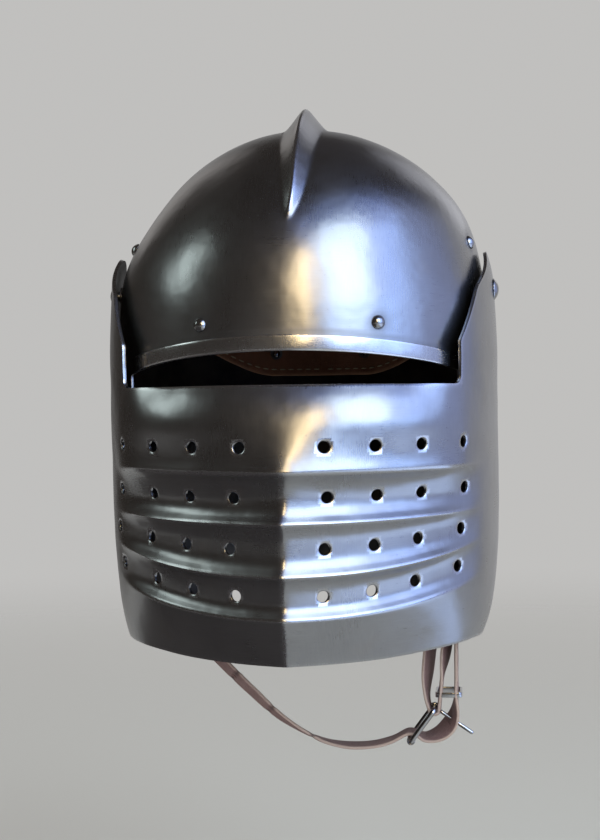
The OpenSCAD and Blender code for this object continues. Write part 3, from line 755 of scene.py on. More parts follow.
band_bm = draped_grid(BAND_COLUMNS, BAND_ROWS, band_place)
band_row = band_bm.verts.layers.int["row"]
face_out(band_bm)
mark(band_bm, "worn", lambda v: 0.9 if v[band_row] in (0, BAND_ROWS) else 0.15)
band = finished(band_bm, "brow_strip", [band_steel])
thicken(band, BAND_T)
soften(band, 0.3, 2, 40)
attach(band, "shell")
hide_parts("brow_band")
print("brow band:", len(band.data.polygons), "faces before its wall")

# %% [markdown]
# ## The visor
# The visor wraps the lower face and hangs from two long arms. Four creases run round it, with
# hollow flutes between them, and a ridge runs down the middle. The creases are sharp in front and
# fade towards the ears, so the flute's height is a wave down the plate times a fall to the side.

# %% The visor's surface
TOP_Z = -136.0
CHIN_Z = -287.0
VISOR_HALF = 115.8
VISOR_REACH = 126.0
ARM_R = 22.5
VISOR_REAR = 28.0
LEAN_Z = TOP_Z - 24
ARM_LEAN = 2.1
ARM_AIR = 0.6
TIP_LEAN = 4.0
FOOT_DRAW = 10.4
FLUTE = 4.4
FLUTE_POWER = 3.4
FIRST_CREASE = 47.0
CREASE_DROPS = (47.0, 74.0, 102.0, 125.0)
SIDE_CLIMB = (3, 5, 15.5, 18)
CORNER_T = 0.62
CORNER_R = 3.5
RIDGE_DROP = 6.0
RIDGE_H = 62.0
RIDGE_ROUND = 0.014
BLUNT_POLE = (0.535, 0.897)
SHARP_POLE = (0.455, 0.835)
BLUNT_REACH = 0.952
SIDE_POLE = 0.595
CLIMB_X = 107.0
CREASE_ROUND = 1.0
LIP_IN = 6.0
LIP_H = 25.0
LIP_END = 0.38
LIP_FADE = 0.22
SWELL = 3.0
FRONT_END = 0.5
FRONT_FADE = 0.27
HAMMER = 2.2
ARM_FADE = 25.0
SWAY = 2.2


def ridge(z):
    """How far the ridge has grown at a level: 0 at the top edge and 1 lower down."""
    return smooth((TOP_Z - RIDGE_DROP - z) / RIDGE_H)


def in_front(t):
    """1 over the face, and falling to 0 where the plate passes the cheek."""
    return 1 - smooth((t - FRONT_END) / FRONT_FADE)


def lip(z, t):
    """The plate swells a little below its top edge, and the edge turns in like a lip."""
    drop = TOP_Z - z
    turned_in = LIP_IN * held(1 - drop / LIP_H) ** 2 * (1 - smooth((t - LIP_END) / LIP_FADE))
    return SWELL * sin(pi * held(drop / (RIDGE_H - 2))) * in_front(t) - turned_in


def visor_half(z):
    """Half the visor's width at a level; it narrows to the foot and towards the arms' tips."""
    if z < LEAN_Z:
        return VISOR_HALF - FOOT_DRAW * held((LEAN_Z - z) / (LEAN_Z - CHIN_Z)) ** 4
    return (VISOR_HALF - ARM_LEAN * held((z - LEAN_Z) / (PIVOT_Z - LEAN_Z)) ** 2.5
            - TIP_LEAN * held((z - PIVOT_Z) / ARM_R) ** 2)


def visor_plan(t, z):
    """The half plan: t is 0 at the ridge and 1 at the widest place, then straight on. It is blunt
    above the ridge and sharp over it."""
    r = ridge(z)
    nose = VISOR_REACH * between(BLUNT_REACH, 1, r)
    wide, far = (between(b, c, r) for b, c in zip(BLUNT_POLE, SHARP_POLE))
    poles = ((0, -nose), (VISOR_HALF * wide, -VISOR_REACH * far),
             (VISOR_HALF, -SIDE_POLE * VISOR_REACH), (VISOR_HALF, WIDEST_Y))
    u = min(t, 1)
    round_off = RIDGE_ROUND * (1 - u) * between(6, 1, r)
    x, y = bezier(*poles, u)[0], bezier(*poles, min(1, blunted(u, round_off)))[1]
    shrink = visor_half(z) / VISOR_HALF
    return x * shrink, (y + max(0.0, t - 1) * 100) * (shrink if z < TOP_Z else 1)


def t_at_y(y):
    """The place on the plan that lies at depth y."""
    if y >= WIDEST_Y:
        return 1 + (y - WIDEST_Y) / 100
    return half_way(lambda t: visor_plan(t, TOP_Z)[1] < y)


FULL_RIDGE_Z = TOP_Z - RIDGE_DROP - RIDGE_H


def t_at_x(x, z):
    """The place on the plan that lies x to the side."""
    return half_way(lambda t: visor_plan(t, z)[0] < x)


def climb(t):
    """How far a crease has risen on its way from the ridge to the ear, from 0 to 1."""
    return min(visor_plan(min(t, 1), FULL_RIDGE_Z)[0] / CLIMB_X, 1) ** 2.5


def crease(k, t):
    """The level of crease k, counted from the top."""
    return TOP_Z - CREASE_DROPS[k] + SIDE_CLIMB[k] * climb(t)


def foot(t):
    """The level of the lower edge, which climbs towards the back."""
    y = visor_plan(t, CHIN_Z)[1]
    return CHIN_Z + 6 * climb(t) + 26 * smooth((y + 18) / (VISOR_REAR + 14))


def flute_wave(z, t):
    """1 on a crease and 0 in the hollow of a flute; below the last crease the plate goes in."""
    c = [crease(k, t) for k in range(4)]
    if z > c[0]:
        return held(1 - blunted(z - c[0], CREASE_ROUND) / (0.62 * FIRST_CREASE)) ** FLUTE_POWER
    if z < c[3]:
        return held(1 - blunted(c[3] - z, CREASE_ROUND) / (c[3] - foot(t))) ** 1.5 * 1.3 - 0.3
    k = 0 if z > c[1] else 1 if z > c[2] else 2
    pitch = c[k] - c[k + 1]
    near = blunted(min(c[k] - z, z - c[k + 1]), CREASE_ROUND)
    return held(1 - 2 * near / (pitch - 2 * CREASE_ROUND)) ** FLUTE_POWER


def wander(z):
    """The ridge was beaten by eye: it swings to one side on the creases and back in the hollows."""
    swing = SWAY * held((z - CHIN_Z) / (TOP_Z - CHIN_Z)) * (0.5 - flute_wave(z, 0))
    return swing + 0.5 * noise.noise(Vector((z / 23, 2, 7)))


def visor_at(t, z):
    """A place on the visor's outer surface; a negative t is on the wearer's right."""
    x, y = visor_plan(abs(t), z)
    way = Vector((x, y, 0)).normalized()
    fluting = 0.0
    if z <= TOP_Z:
        fluting = FLUTE * (flute_wave(z, abs(t)) - 0.5 * ridge(z))
        fluting = fluting * in_front(abs(t)) + lip(z, abs(t))
    p = Vector((x, y, z)) + fluting * way
    aside = wander(z) * closeness(abs(t), 0.2) if z < TOP_Z else 0.0
    return Vector(((-p.x if t < 0 else p.x) + aside, p.y, z))


# %% [markdown]
# The grid's rows follow the creases and its side columns follow the arms' edges, so every edge of
# the plate lies along grid lines. The corner where the top edge turns up into the arm is rounded
# by lifting the last few columns of the top row. The face keeps its hammer marks, but the arms are
# smooth and stand off a little, or the raised visor would scrape along the skull.

# %% The visor's grid
FRONT_COLUMNS = 70
SIDE_COLUMNS = 46
VISOR_HALF_COLUMNS = FRONT_COLUMNS + SIDE_COLUMNS
ROUND_ROWS = 18
ARM_ROWS = 50
BAND_ROW_COUNTS = (28, 16, 16, 15, 17)
ROWS_BEFORE = [sum(BAND_ROW_COUNTS[:k]) for k in range(6)]
VISOR_ROWS = ARM_ROWS + ROWS_BEFORE[5]
ROUND_END = radians(78)
corner_x, corner_y = visor_plan(CORNER_T, TOP_Z)


def arm_half(z):
    """Half the arm's width round its tip."""
    return sqrt(max(0.6, ARM_R ** 2 - (z - PIVOT_Z) ** 2))


def rear_y(z):
    """The arm's edge at the back."""
    if z < PIVOT_Z:
        return between(ARM_R, VISOR_REAR, smooth((PIVOT_Z - z) / 60))
    return arm_half(z)


def front_y(z):
    """The arm's edge at the front."""
    line = corner_y + max(0.0, z - (TOP_Z + 24)) * 0.72
    if z < PIVOT_Z - 4:
        return line
    return between(line, -arm_half(z), smooth((z - PIVOT_Z + 4) / (ARM_R + 2)))


def top_edge(t):
    """The top edge, lifted round the corner to the arm."""
    short = corner_x - visor_plan(min(t, CORNER_T), TOP_Z)[0]
    if short >= CORNER_R:
        return TOP_Z
    return TOP_Z + CORNER_R - sqrt(CORNER_R ** 2 - (CORNER_R - short) ** 2)


def arm_level(j):
    """Levels from the tip down: close together round the end, then even."""
    if j <= ROUND_ROWS:
        return PIVOT_Z + ARM_R * cos(ROUND_END * j / ROUND_ROWS)
    low = PIVOT_Z + ARM_R * cos(ROUND_END)
    return between(low, TOP_Z + CORNER_R, (j - ROUND_ROWS) / (ARM_ROWS - ROUND_ROWS))


def visor_level(j, t):
    if j < ARM_ROWS:
        return arm_level(j)
    m = j - ARM_ROWS
    k = next(k for k in range(5) if m <= ROWS_BEFORE[k + 1])
    edges = [top_edge(t)] + [crease(n, t) for n in range(4)] + [foot(t)]
    return between(edges[k], edges[k + 1], (m - ROWS_BEFORE[k]) / BAND_ROW_COUNTS[k])


def column_t(k, z):
    if k < FRONT_COLUMNS:
        return CORNER_T * k / FRONT_COLUMNS
    front = CORNER_T if z <= TOP_Z + CORNER_R else t_at_y(front_y(z))
    return between(front, t_at_y(rear_y(z)), (k - FRONT_COLUMNS) / SIDE_COLUMNS)


def visor_spot(i, j):
    """The plan place and the level of a grid corner."""
    k = abs(i - VISOR_HALF_COLUMNS)
    z = visor_level(j, column_t(k, TOP_Z - FIRST_CREASE))
    t = column_t(k, z)
    return (-t if i < VISOR_HALF_COLUMNS else t), z


visor_spots = {}


def visor_place(i, j):
    t, z = visor_spots.setdefault((i, j), visor_spot(i, j))
    p = visor_at(t, z)
    in_arm = smooth((z - TOP_Z) / ARM_FADE)
    uneven = between(HAMMER * planish(p, 300), ARM_AIR, in_arm)
    return p + uneven * Vector((p.x, p.y, 0)).normalized()


# %% [markdown]
# Wear shows most where a cloth or a glove rubs: on the creases, on the ridge and on the top edge.
# The distance to each is known while the grid is made, so it is written into the mesh then.

# %% Build the visor plate


def visor_wear(v):
    t, z = visor_spots[(v[visor_column], v[visor_row])]
    t = abs(t)
    lines = [closeness(abs(z - crease(k, t)), 1.5) * in_front(t) * 0.55 for k in range(4)]
    nose = closeness(abs(v.co.x) / MM, 2.0) * ridge(z) * 0.5
    top = closeness(abs(z - top_edge(t)), 2.2) if t <= CORNER_T else 0.0
    arm = closeness(abs(v.co.y / MM - front_y(z)), 2.2) * 0.5 if z > TOP_Z and t > 0.5 else 0.0
    low = closeness(abs(z - foot(t)), 2.0) * 0.5
    return max(lines + [nose, top, arm, low])


def above_top(i, j):
    return j < ARM_ROWS and abs(i + 0.5 - VISOR_HALF_COLUMNS) < FRONT_COLUMNS


visor_bm = draped_grid(2 * VISOR_HALF_COLUMNS, VISOR_ROWS, visor_place)
drop_cells(visor_bm, above_top)
loose = [v for v in visor_bm.verts if not v.link_faces]
bmesh.ops.delete(visor_bm, geom=loose, context="VERTS")
face_out(visor_bm)
visor_column = visor_bm.verts.layers.int["column"]
visor_row = visor_bm.verts.layers.int["row"]
mark(visor_bm, "worn", visor_wear)
print("visor grid:", len(visor_bm.faces), "cells")

# %% [markdown]
# The breath holes were punched and then countersunk by hand. For each one a few cells are taken
# out, the ragged edge is extruded and drawn in to an even ring on the surface, and that ring is
# drawn in once more and sunk for the chamfer. The plate's wall then lines each hole.

# %% Punch the breath holes
BREATH_R = 3.25
CHAMFER = 0.75
SUNK = 0.45
CLEARED = BREATH_R + CHAMFER + 0.6
HOLES_A_SIDE = 4
NEAR_HOLE = 23.5
FAR_HOLE = 96.0
CROWDED = 0.92
TOP_ROW = 0.29
ROW_SET = {-1: (-1, 4, 7, 4.5), 1: (-1.5, 0.5, -1, -2)}


def hole_x(n, k, side):
    """The rows were marked out by hand, so each is set outward by its own amount."""
    return between(NEAR_HOLE, FAR_HOLE, (n / (HOLES_A_SIDE - 1)) ** CROWDED) + ROW_SET[side][k]


def hole_z(k, t):
    """The top row lies over the first crease, and the others lie midway between two creases."""
    if k == 0:
        return between(crease(0, t), TOP_Z, TOP_ROW)
    return (crease(k - 1, t) + crease(k, t)) / 2


def punch(bm, surface, centre, normal):
    """Cuts one chamfered hole in the open shell and gives back the chamfer's two rings."""
    gone = {f for v in bm.verts if (v.co - centre).length < CLEARED * MM for f in v.link_faces}
    bmesh.ops.delete(bm, geom=list(gone), context="FACES")
    ragged = [e for e in bm.edges
              if e.is_boundary and (e.verts[0].co - centre).length < (CLEARED + 4) * MM]
    across = normal.orthogonal().normalized()
    along = normal.cross(across)

    def angle(v):
        return atan2((v.co - centre).dot(along), (v.co - centre).dot(across))

    drawn = bmesh.ops.extrude_edge_only(bm, edges=ragged)["geom"]
    ring = sorted(verts_in(drawn), key=angle)
    step = 2 * pi / len(ring)
    shift = sum(angle(v) - step * n for n, v in enumerate(ring)) / len(ring)
    for n, v in enumerate(ring):
        way = cos(shift + step * n) * across + sin(shift + step * n) * along
        v.co = surface.find_nearest(centre + (BREATH_R + CHAMFER) * MM * way)[0]
    rim = [g for g in drawn if isinstance(g, bmesh.types.BMEdge) and g.is_boundary]
    inner = verts_in(bmesh.ops.extrude_edge_only(bm, edges=rim)["geom"])
    for v in inner:
        away = v.co - centre
        away -= away.dot(normal) * normal
        v.co -= away.normalized() * CHAMFER * MM + normal * SUNK * MM
    return ring, inner


way_out = visor_bm.verts.layers.float_vector.new("way_out")
depth = visor_bm.verts.layers.float.new("depth")
worn_layer = visor_bm.verts.layers.float["worn"]
visor_bm.normal_update()
for v in visor_bm.verts:
    v[way_out] = v.normal
surface = BVHTree.FromBMesh(visor_bm)
holes = 0
for k in range(4):
    for n in range(HOLES_A_SIDE):
        for side in (-1, 1):
            out = hole_x(n, k, side)
            z = hole_z(k, t_at_x(out, FULL_RIDGE_Z))
            t = t_at_x(out * visor_half(z) / VISOR_HALF, z)
            centre, normal, _, _ = surface.find_nearest(visor_at(side * t, z) * MM)
            ring, inner = punch(visor_bm, surface, centre, normal)
            for v in ring + inner:
                v[way_out] = surface.find_nearest(v.co)[1]
            for v in ring:
                v[worn_layer] = 0.7
            for v in inner:
                v[depth] = SUNK
            holes += 1
print("breath holes:", holes)

# %% [markdown]
# The wall is made by extruding the whole sheet and drawing the copy inwards. Each corner moves
# along the direction that the smooth plate had before it was punched, so the wall stays even.

# %% Give the visor its wall
sheet = bmesh.ops.extrude_face_region(visor_bm, geom=visor_bm.faces[:], use_keep_orig=True)["geom"]
for g in sheet:
    if isinstance(g, bmesh.types.BMVert):
        g.co -= (PLATE - g[depth]) * MM * g[way_out]
        g[worn_layer] = 0.0
    elif isinstance(g, bmesh.types.BMFace):
        g.material_index = 1
outward(visor_bm)
visor = finished(visor_bm, "visor_plate", [plate_steel, shaded_inner_steel])
soften(visor, 0.4, 2, 50)
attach(visor, "visor")
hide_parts("visor")
print("visor:", len(visor.data.polygons), "faces")

# %% [markdown]
# ## Rivets
# A rivet is a turned shape: a low dome, a shank and a peened tail. Spinning half its outline about
# its own axis makes it in one step, and each copy is turned onto the plate it sits on.

# %% Turned shapes


def turned(outline, sides=40):
    """A closed solid of revolution about +Z; the outline runs from axis to axis, in millimetres."""
    bm = bmesh.new()
    verts = [bm.verts.new((r * MM, 0, h * MM)) for r, h in outline]
    edges = [bm.edges.new(pair) for pair in zip(verts, verts[1:])]
    bmesh.ops.spin(bm, geom=verts + edges, cent=(0, 0, 0), axis=(0, 0, 1), dvec=(0, 0, 0),
                   angle=2 * pi, steps=sides, use_merge=True, use_duplicate=False)
    weld(bm)
    outward(bm)
    return bm


DOME_STEPS = 8


def dome(d, h, foot):
    """Outline of a domed head from its top to its foot."""
    r = (d * d / 4 + h * h) / (2 * h)
    top = degrees(acos((r - h) / r))
    turns = [radians(top * k / DOME_STEPS) for k in range(DOME_STEPS + 1)]
    return [(r * sin(a), h - r + r * cos(a) + foot) for a in turns]


def put(into, bm, where, normal, roll=0.0):
    """Adds a copy of a small bmesh to another, with its +Z along normal."""
    mesh = bpy.data.meshes.new("copy")
    bm.to_mesh(mesh)
    mesh.transform(aimed(where * MM, normal) @ Matrix.Rotation(roll, 4, "Z"))
    into.from_mesh(mesh)
    bpy.data.meshes.remove(mesh)


def placed(*parts):
    """One bmesh of several small ones, each given with its place and the way its +Z goes."""
    whole = bmesh.new()
    for bm, where, normal in parts:
        put(whole, bm, where, normal)
        bm.free()
    return whole


# %% [markdown]
# Eight rivets hold the liner and two hold the straps. No two hand-set rivets are quite alike, so
# each is rolled round its axis by its own amount, and a little noise dents them all. The noise that
# gives an arrow starts from the clock unless it has a seed, and with one the dents are the same on
# every run. The pivots are larger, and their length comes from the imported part, where they pass
# through both plates.

# %% Build the liner rivets, chin rivets and pivots
RIVET_D = 8.0
RIVET_H = 2.6
CHIN_RIVET_H = 1.1
SHANK_R = 1.5
LEATHER = 2.0
LINER_OUT = PLATE + 0.4
LINER_IN = LINER_OUT + LEATHER
LINER_PLAY = 0.75
BURR_T = 0.8
ROLL_STEP = 1.3
DENT = 0.08
DENT_FINE = 420
DENT_SEED = 5
CHIN_GAP = 0.95
STRAP_T = 2.3
CHIN_GRIP = PLATE + CHIN_GAP + STRAP_T + 0.1
chin_place = (0.78, -215.0)
chin_right = (-chin_place[0], chin_place[1])


def rivet_outline(d, h, grip):
    """A rivet from the top of its head down to its peened tail."""
    low = -grip - BURR_T
    return (dome(d, h, 0.08) + [(SHANK_R, 0.08), (SHANK_R, low + 0.1), (SHANK_R + 0.8, low - 0.15),
                                (SHANK_R + 0.65, low - 0.6), (0.9, low - 0.85), (0, low - 0.9)])


noise.seed_set(DENT_SEED)


def rivet_set(name, places, outline, node):
    whole = bmesh.new()
    one = turned(outline)
    for number, (s, z) in enumerate(places):
        put(whole, one, skull_at(s, z), skull_normal(s, z), number * ROLL_STEP)
    one.free()
    for v in whole.verts:
        v.co += DENT * MM * noise.noise_vector(v.co * DENT_FINE)
    piece = finished(whole, name, [rivet_steel])
    soften(piece, 0.15, 2, 50)
    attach(piece, "shell")
    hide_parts(node)


rivet_set("liner_rivet_heads", rivet_places, rivet_outline(RIVET_D, RIVET_H, LINER_IN + LINER_PLAY),
          "liner_rivets")
rivet_set("chin_rivet_heads", [chin_right, chin_place], rivet_outline(RIVET_D, CHIN_RIVET_H, CHIN_GRIP),
          "chin_rivets")

PIVOT_HEAD_D = 13.0
PIVOT_HEAD_H = 3.2
PIVOT_R = 3.0
low_x, high_x = (corner.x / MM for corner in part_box("pivot_rivet_left"))
pivot_seat = high_x - PIVOT_HEAD_H
for side, node in ((1, "pivot_rivet_left"), (-1, "pivot_rivet_right")):
    outline = (dome(PIVOT_HEAD_D, PIVOT_HEAD_H - 0.3, pivot_seat + 0.3)
               + [(PIVOT_HEAD_D / 2 - 0.2, pivot_seat), (PIVOT_R, pivot_seat), (PIVOT_R, low_x + 1.2),
                  (PIVOT_R + 1.4, low_x + 1.1), (PIVOT_R + 1.1, low_x + 0.3), (0, low_x)])
    pivot_bm = placed((turned(outline, 56), Vector((0, 0, PIVOT_Z)), Vector((side, 0, 0))))
    pivot = finished(pivot_bm, node + "_head", [rivet_steel])
    soften(pivot, 0.2, 2, 50)
    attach(pivot, "shell")
    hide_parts(node)
print("pivot heads sit at", round(pivot_seat, 2), "mm")

# %% [markdown]
# The washers under the rivets and the spacers on the pivots are plain rings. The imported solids
# already have their true shape, so they only get the dull iron finish.

# %% Finish the washers
washers = ("pivot_spacer_left", "pivot_spacer_right", "pivot_burr_left", "pivot_burr_right",
           "liner_burrs", "chin_burrs")
for node in washers:
    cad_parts[node].data.materials.clear()
    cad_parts[node].data.materials.append(dull_iron)
print("washers in dull iron:", len(washers))

# %% [markdown]
# ## Leather
# Vegetable tanned leather has a pebbled grain on its face, darker creases between the pebbles and
# pale, fuzzy raw edges. Cells and a fine noise make the grain, a slow noise makes the handling
# stains, the worn attribute says where a raw edge is, and painted shade darkens the strap's creases.

# %% Leather finishes


def leather(name, dark, light, edge, grain=900):
    f = Finish(name, Specular_IOR_Level=0.35)
    worn, shade_and_soil = f.own("worn"), f.own("shade_and_soil")
    blotch = f.noise(24, 4)
    fine = f.noise(grain * 0.5, 4)
    cells = f.node("ShaderNodeTexVoronoi", {"feature": "DISTANCE_TO_EDGE"},
                   {"Vector": f.place, "Scale": grain}, "Distance")
    pebble = f.step(cells, 0.0, 0.22)
    colour = f.mix(f.step(blotch, 0.3, 0.7), dark, light)
    colour = f.mix((1 - pebble) * 0.35, colour, tuple(c * 0.5 for c in dark))
    colour = f.mix(f.step(fine, 0.55, 0.8) * 0.3, colour, edge)
    colour = f.mix(worn * 0.85, colour, edge)
    # Painted shade: the strap's leather goes darker in the creases across it at the prong holes.
    colour = f.mix(shade_and_soil * 0.8, colour, tuple(c * 0.3 for c in dark))
    normal = f.bump(pebble * 0.5 + fine * 0.8, 0.0003, 0.5)
    return f.feed(Base_Color=colour, Roughness=0.62 + (fine - 0.5) * 0.25 + worn * 0.12, Normal=normal)


strap_leather = leather("strap_leather", (0.235, 0.135, 0.135), (0.36, 0.225, 0.215), (0.62, 0.47, 0.41))
liner_leather = leather("liner_leather", (0.17, 0.07, 0.04), (0.28, 0.125, 0.075), (0.42, 0.24, 0.15))
thread = leather("waxed_thread", (0.35, 0.29, 0.2), (0.5, 0.43, 0.31), (0.6, 0.53, 0.4), 2400)
lace_leather = leather("lace_leather", (0.26, 0.16, 0.1), (0.38, 0.26, 0.17), (0.55, 0.42, 0.3), 1500)
print("leathers:", [m.name for m in (strap_leather, liner_leather, thread, lace_leather)])

# %% [markdown]
# ## The liner
# A leather band is riveted round the inside and carries eight tongues that meet under the crown.
# A lace through their tips draws them together, which sets how deep the head sits. Both are
# shells again, set inside the skull's own surface, so they follow it exactly.

# %% Build the head band
LINER_H = 28.0
LINER_COLUMNS = 240
LINER_ROWS = 14
EAR_END = 1.02
STITCH_ROWS = (0.14, 0.86)


def liner_level(s):
    """The band follows its rivets: low at the brow, high over the ears, lower towards the nape."""
    u = abs(s)
    (brow, brow_level), (ear, ear_level), (rear, rear_level), (nape, nape_level) = RIVET_ROW
    level = between(brow_level, ear_level, smooth((u - brow) / (ear - brow)))
    level = between(level, rear_level, smooth((u - EAR_END) / (rear - EAR_END)))
    return between(level, nape_level, smooth((u - rear) / (nape - rear)))


def liner_place(i, j):
    s = between(-2, 2, i / LINER_COLUMNS)
    u = j / LINER_ROWS
    sink = 0.25 * sum(closeness(abs(u - row), 0.05) for row in STITCH_ROWS)
    puff = 0.12 * noise.noise(Vector((s * 14, u * 3, 5)))
    return skull_at(s, liner_level(s) + LINER_H * (0.5 - u), -LINER_IN + sink + puff)


liner_bm = draped_grid(LINER_COLUMNS, LINER_ROWS, liner_place)
liner_row = liner_bm.verts.layers.int["row"]
mark(liner_bm, "worn", lambda v: 0.7 if v[liner_row] in (0, LINER_ROWS) else 0.0)
weld(liner_bm, 0.01)
face_out(liner_bm)
bmesh.ops.reverse_faces(liner_bm, faces=liner_bm.faces[:])
liner = finished(liner_bm, "head_band", [liner_leather])
thicken(liner, LEATHER)
soften(liner, 0.5, 2, 50)
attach(liner, "shell")
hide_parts("liner_band")
print("head band:", LINER_H, "mm high")

# %% [markdown]
# The band is hemmed with two rows of stitches. Each stitch is one short, round-ended stick a
# millimetre thick, laid in the groove that the thread has pulled into the leather.

# %% Stitch the head band
STITCH_GAP = 0.034
STITCH_PART = 0.005
STITCH_D = 0.9
STITCH_COUNT = int(4 / STITCH_GAP)

stitches_bm = bmesh.new()
for u in STITCH_ROWS:
    for n in range(STITCH_COUNT):
        s = -2 + STITCH_GAP * n
        a, b = [skull_at(q, liner_level(q) + LINER_H * (0.5 - u), -LINER_IN - 0.1)
                for q in (s + STITCH_PART, s + STITCH_GAP - STITCH_PART)]
        shape = aimed((a + b) / 2 * MM, b - a) @ Matrix.Diagonal(
            (STITCH_D / 2 * MM, STITCH_D / 2 * MM, (b - a).length / 2 * MM, 1))
        bmesh.ops.create_uvsphere(stitches_bm, u_segments=6, v_segments=5, radius=1, matrix=shape)
stitches = finished(stitches_bm, "head_band_stitches", [thread])
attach(stitches, "shell")
print("stitches:", 2 * STITCH_COUNT)

# %% [markdown]
# The tongues are cut from flat leather, broad at the band and rounded at the tip. They leave the
# dome as they rise, so that air and not steel lies over the head.

# %% Build the eight tongues
TONGUES = 8
TONGUE_TIP = 14.0
TONGUE_AIR = 10.5
TONGUE_OUT = LINER_IN + 0.8
TONGUE_COLUMNS = 14
TONGUE_ROWS = 34
TIP_SHARE = 0.10
TONGUE_HALF = 0.2


def tongue_place(mid, u, side):
    """u runs from the tip to the band, and side from -1 to 1 across the tongue."""
    tip = held(u / TIP_SHARE)
    taper = TONGUE_HALF * sqrt(tip * (2 - tip)) * 0.98 + 0.004
    s = mid + side * taper
    low = liner_level(s) + 6
    end = degrees(acos((low - WIDEST_Z) / DOME_H)) if low > WIDEST_Z else 90.0
    z = WIDEST_Z + DOME_H * cos(radians(between(TONGUE_TIP, end, u))) + min(0.0, low - WIDEST_Z) * u
    gap = between(TONGUE_AIR, TONGUE_OUT, smooth(u * 1.25))
    return skull_at(s, z, -gap)


for k in range(TONGUES):
    mid = 0.25 + 0.5 * k if k < TONGUES / 2 else -0.25 - 0.5 * (k - TONGUES / 2)

    def place(i, j, mid=mid):
        side = 2 * i / TONGUE_COLUMNS - 1
        p = tongue_place(mid, (j / TONGUE_ROWS) ** 1.15, side)
        return p + 0.35 * noise.noise(p / 17) * out_of(p)

    bm = draped_grid(TONGUE_COLUMNS, TONGUE_ROWS, place)
    row, column = bm.verts.layers.int["row"], bm.verts.layers.int["column"]
    mark(bm, "worn", lambda v: 0.75 if v[column] in (0, TONGUE_COLUMNS) or v[row] == 0 else 0.0)
    face_out(bm)
    tongue = finished(bm, f"tongue_{k + 1}", [liner_leather])
    thicken(tongue, LEATHER)
    soften(tongue, 0.45, 2, 50)
    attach(tongue, "shell")
    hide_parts(f"liner_tongue_{k + 1}")
print("tongues:", TONGUES)

# %% [markdown]
# The crown lace is a twisted thong that closes in a ring under the tongues' tips. A torus would do,
# but two strands that wind round each other show that it is a lace and not a wire.

# %% Build the crown lace
lace_box = [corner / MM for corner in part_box("crown_lace")]
lace_r = (lace_box[1].z - lace_box[0].z) / 2
ring_r = (lace_box[1].x - lace_box[0].x) / 2 - lace_r
lace_z = (lace_box[0].z + lace_box[1].z) / 2
lace_x = (lace_box[0].x + lace_box[1].x) / 2
LACE_TURNS = 18
LACE_STEPS = 240


def lace_strand(turned_by):
    """One strand of the ring, which winds round the other one."""

    def place(i, j):
        a, b = 2 * pi * i / LACE_STEPS, 2 * pi * j / 8
        wind = LACE_TURNS * a + turned_by
        r = ring_r + 0.62 * lace_r * cos(wind) + 0.55 * lace_r * cos(b)
        return Vector((r * cos(a), r * sin(a), 0.45 * lace_r * sin(wind) + 0.5 * lace_r * sin(b)))

    bm = draped_grid(LACE_STEPS, 8, place)
    weld(bm)
    outward(bm)
    return bm


lace_spot = Vector((lace_x, 0, lace_z))
lace_bm = placed(*((lace_strand(pi * n), lace_spot, Vector((0, 0, 1))) for n in (0, 1)))
lace = finished(lace_bm, "crown_thong", [lace_leather])
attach(lace, "shell")
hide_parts("crown_lace")
print("lace ring:", round(2 * ring_r), "mm across")

# %% [markdown]
# ## The chin strap
# A long strap comes from the right cheek, runs under the chin and through the buckle, and its tail
# goes up through the keeper. A short strap holds the buckle, folded round its bar. A strap is flat,
# so it is a band swept along its path: a smooth curve through given places.

# %% The straps' paths
STRAP_W = 18.0
WALL_GAP = PLATE + CHIN_GAP + STRAP_T / 2
ACROSS = Vector((0, 1, 0))
WIRE_R = 1.5
bore = WIRE_R + 0.05
ROLLER_R = bore + 0.85
BUCKLE_L = 22.4
STRAP_Y = skull_at(chin_place[0], chin_place[1], -WALL_GAP).y
anchor = skull_normal(*chin_place)
anchor_twist = degrees(atan2(-anchor.y, anchor.x))
bar = Vector((76.8, -321.5))
bar_way = Vector((-13.4, -18)).normalized()
roller = bar + BUCKLE_L * bar_way
fold_r = WIRE_R + 0.3 + STRAP_T / 2
pass_r = ROLLER_R + 0.3 + STRAP_T / 2 + 0.35


def hung(p):
    """The place in space of a point drawn in the upright plane that the straps hang in."""
    return Vector((p[0], STRAP_Y, p[1]))


def wall_x(z):
    """Where the middle of a strap is that lies flat against the inside of the cheek."""
    return skull_at(chin_place[0], z, -WALL_GAP).x


def slack(d):
    """How far the strap stands off the cheek, d millimetres above its rivet."""
    return 1.6 * (max(0.0, -d) / 35) ** 1.3 + (0.3 if d > 0 else 0)


def anchored(side, drops):
    """Places beside the cheek, d millimetres above the rivet."""
    z = chin_place[1]
    return [(side * (wall_x(z + d) - slack(d)), z + d, anchor_twist) for d in drops]


long_path = anchored(-1, (21, 0, -19)) + [
    (-88, -249, 22), (-79, -262, 25), (-62, -280, 27), (-46, -296.5, 27), (-30, -312, 26),
    (-12, -328, 20), (8, -339.5, 10), (24, -343.6, 2), (40, -343.5, 0), (52, -340.5, 0),
    (roller.x - 0.55 * pass_r, roller.y + 0.84 * pass_r, 0),
    (roller.x + 0.72 * pass_r, roller.y + 0.7 * pass_r, 0), (71.5, -338.8, -6), (79.2, -336.8, -18),
    (85, -331.8, -24), (88.4, -324.5, -14), (89.4, -314, 0), (89.6, -303, 0), (89.7, -290, 0),
    (89.9, -278.6, 0)]
short_path = anchored(1, (21, 0, -18, -35)) + [
    (87.9, -262, 16), (85.5, -277, 17), (83.4, -292, 15), (81.2, -306, 0)] + [
    (bar.x + fold_r * cos(radians(a)), bar.y + fold_r * sin(radians(a)), 0)
    for a in range(15, -181, -39)] + [
    (72.6, -314, -6), (73, -303, -17), (74.4, -290, -20), (75.6, -276, -18)]
PATH_STEPS = 9


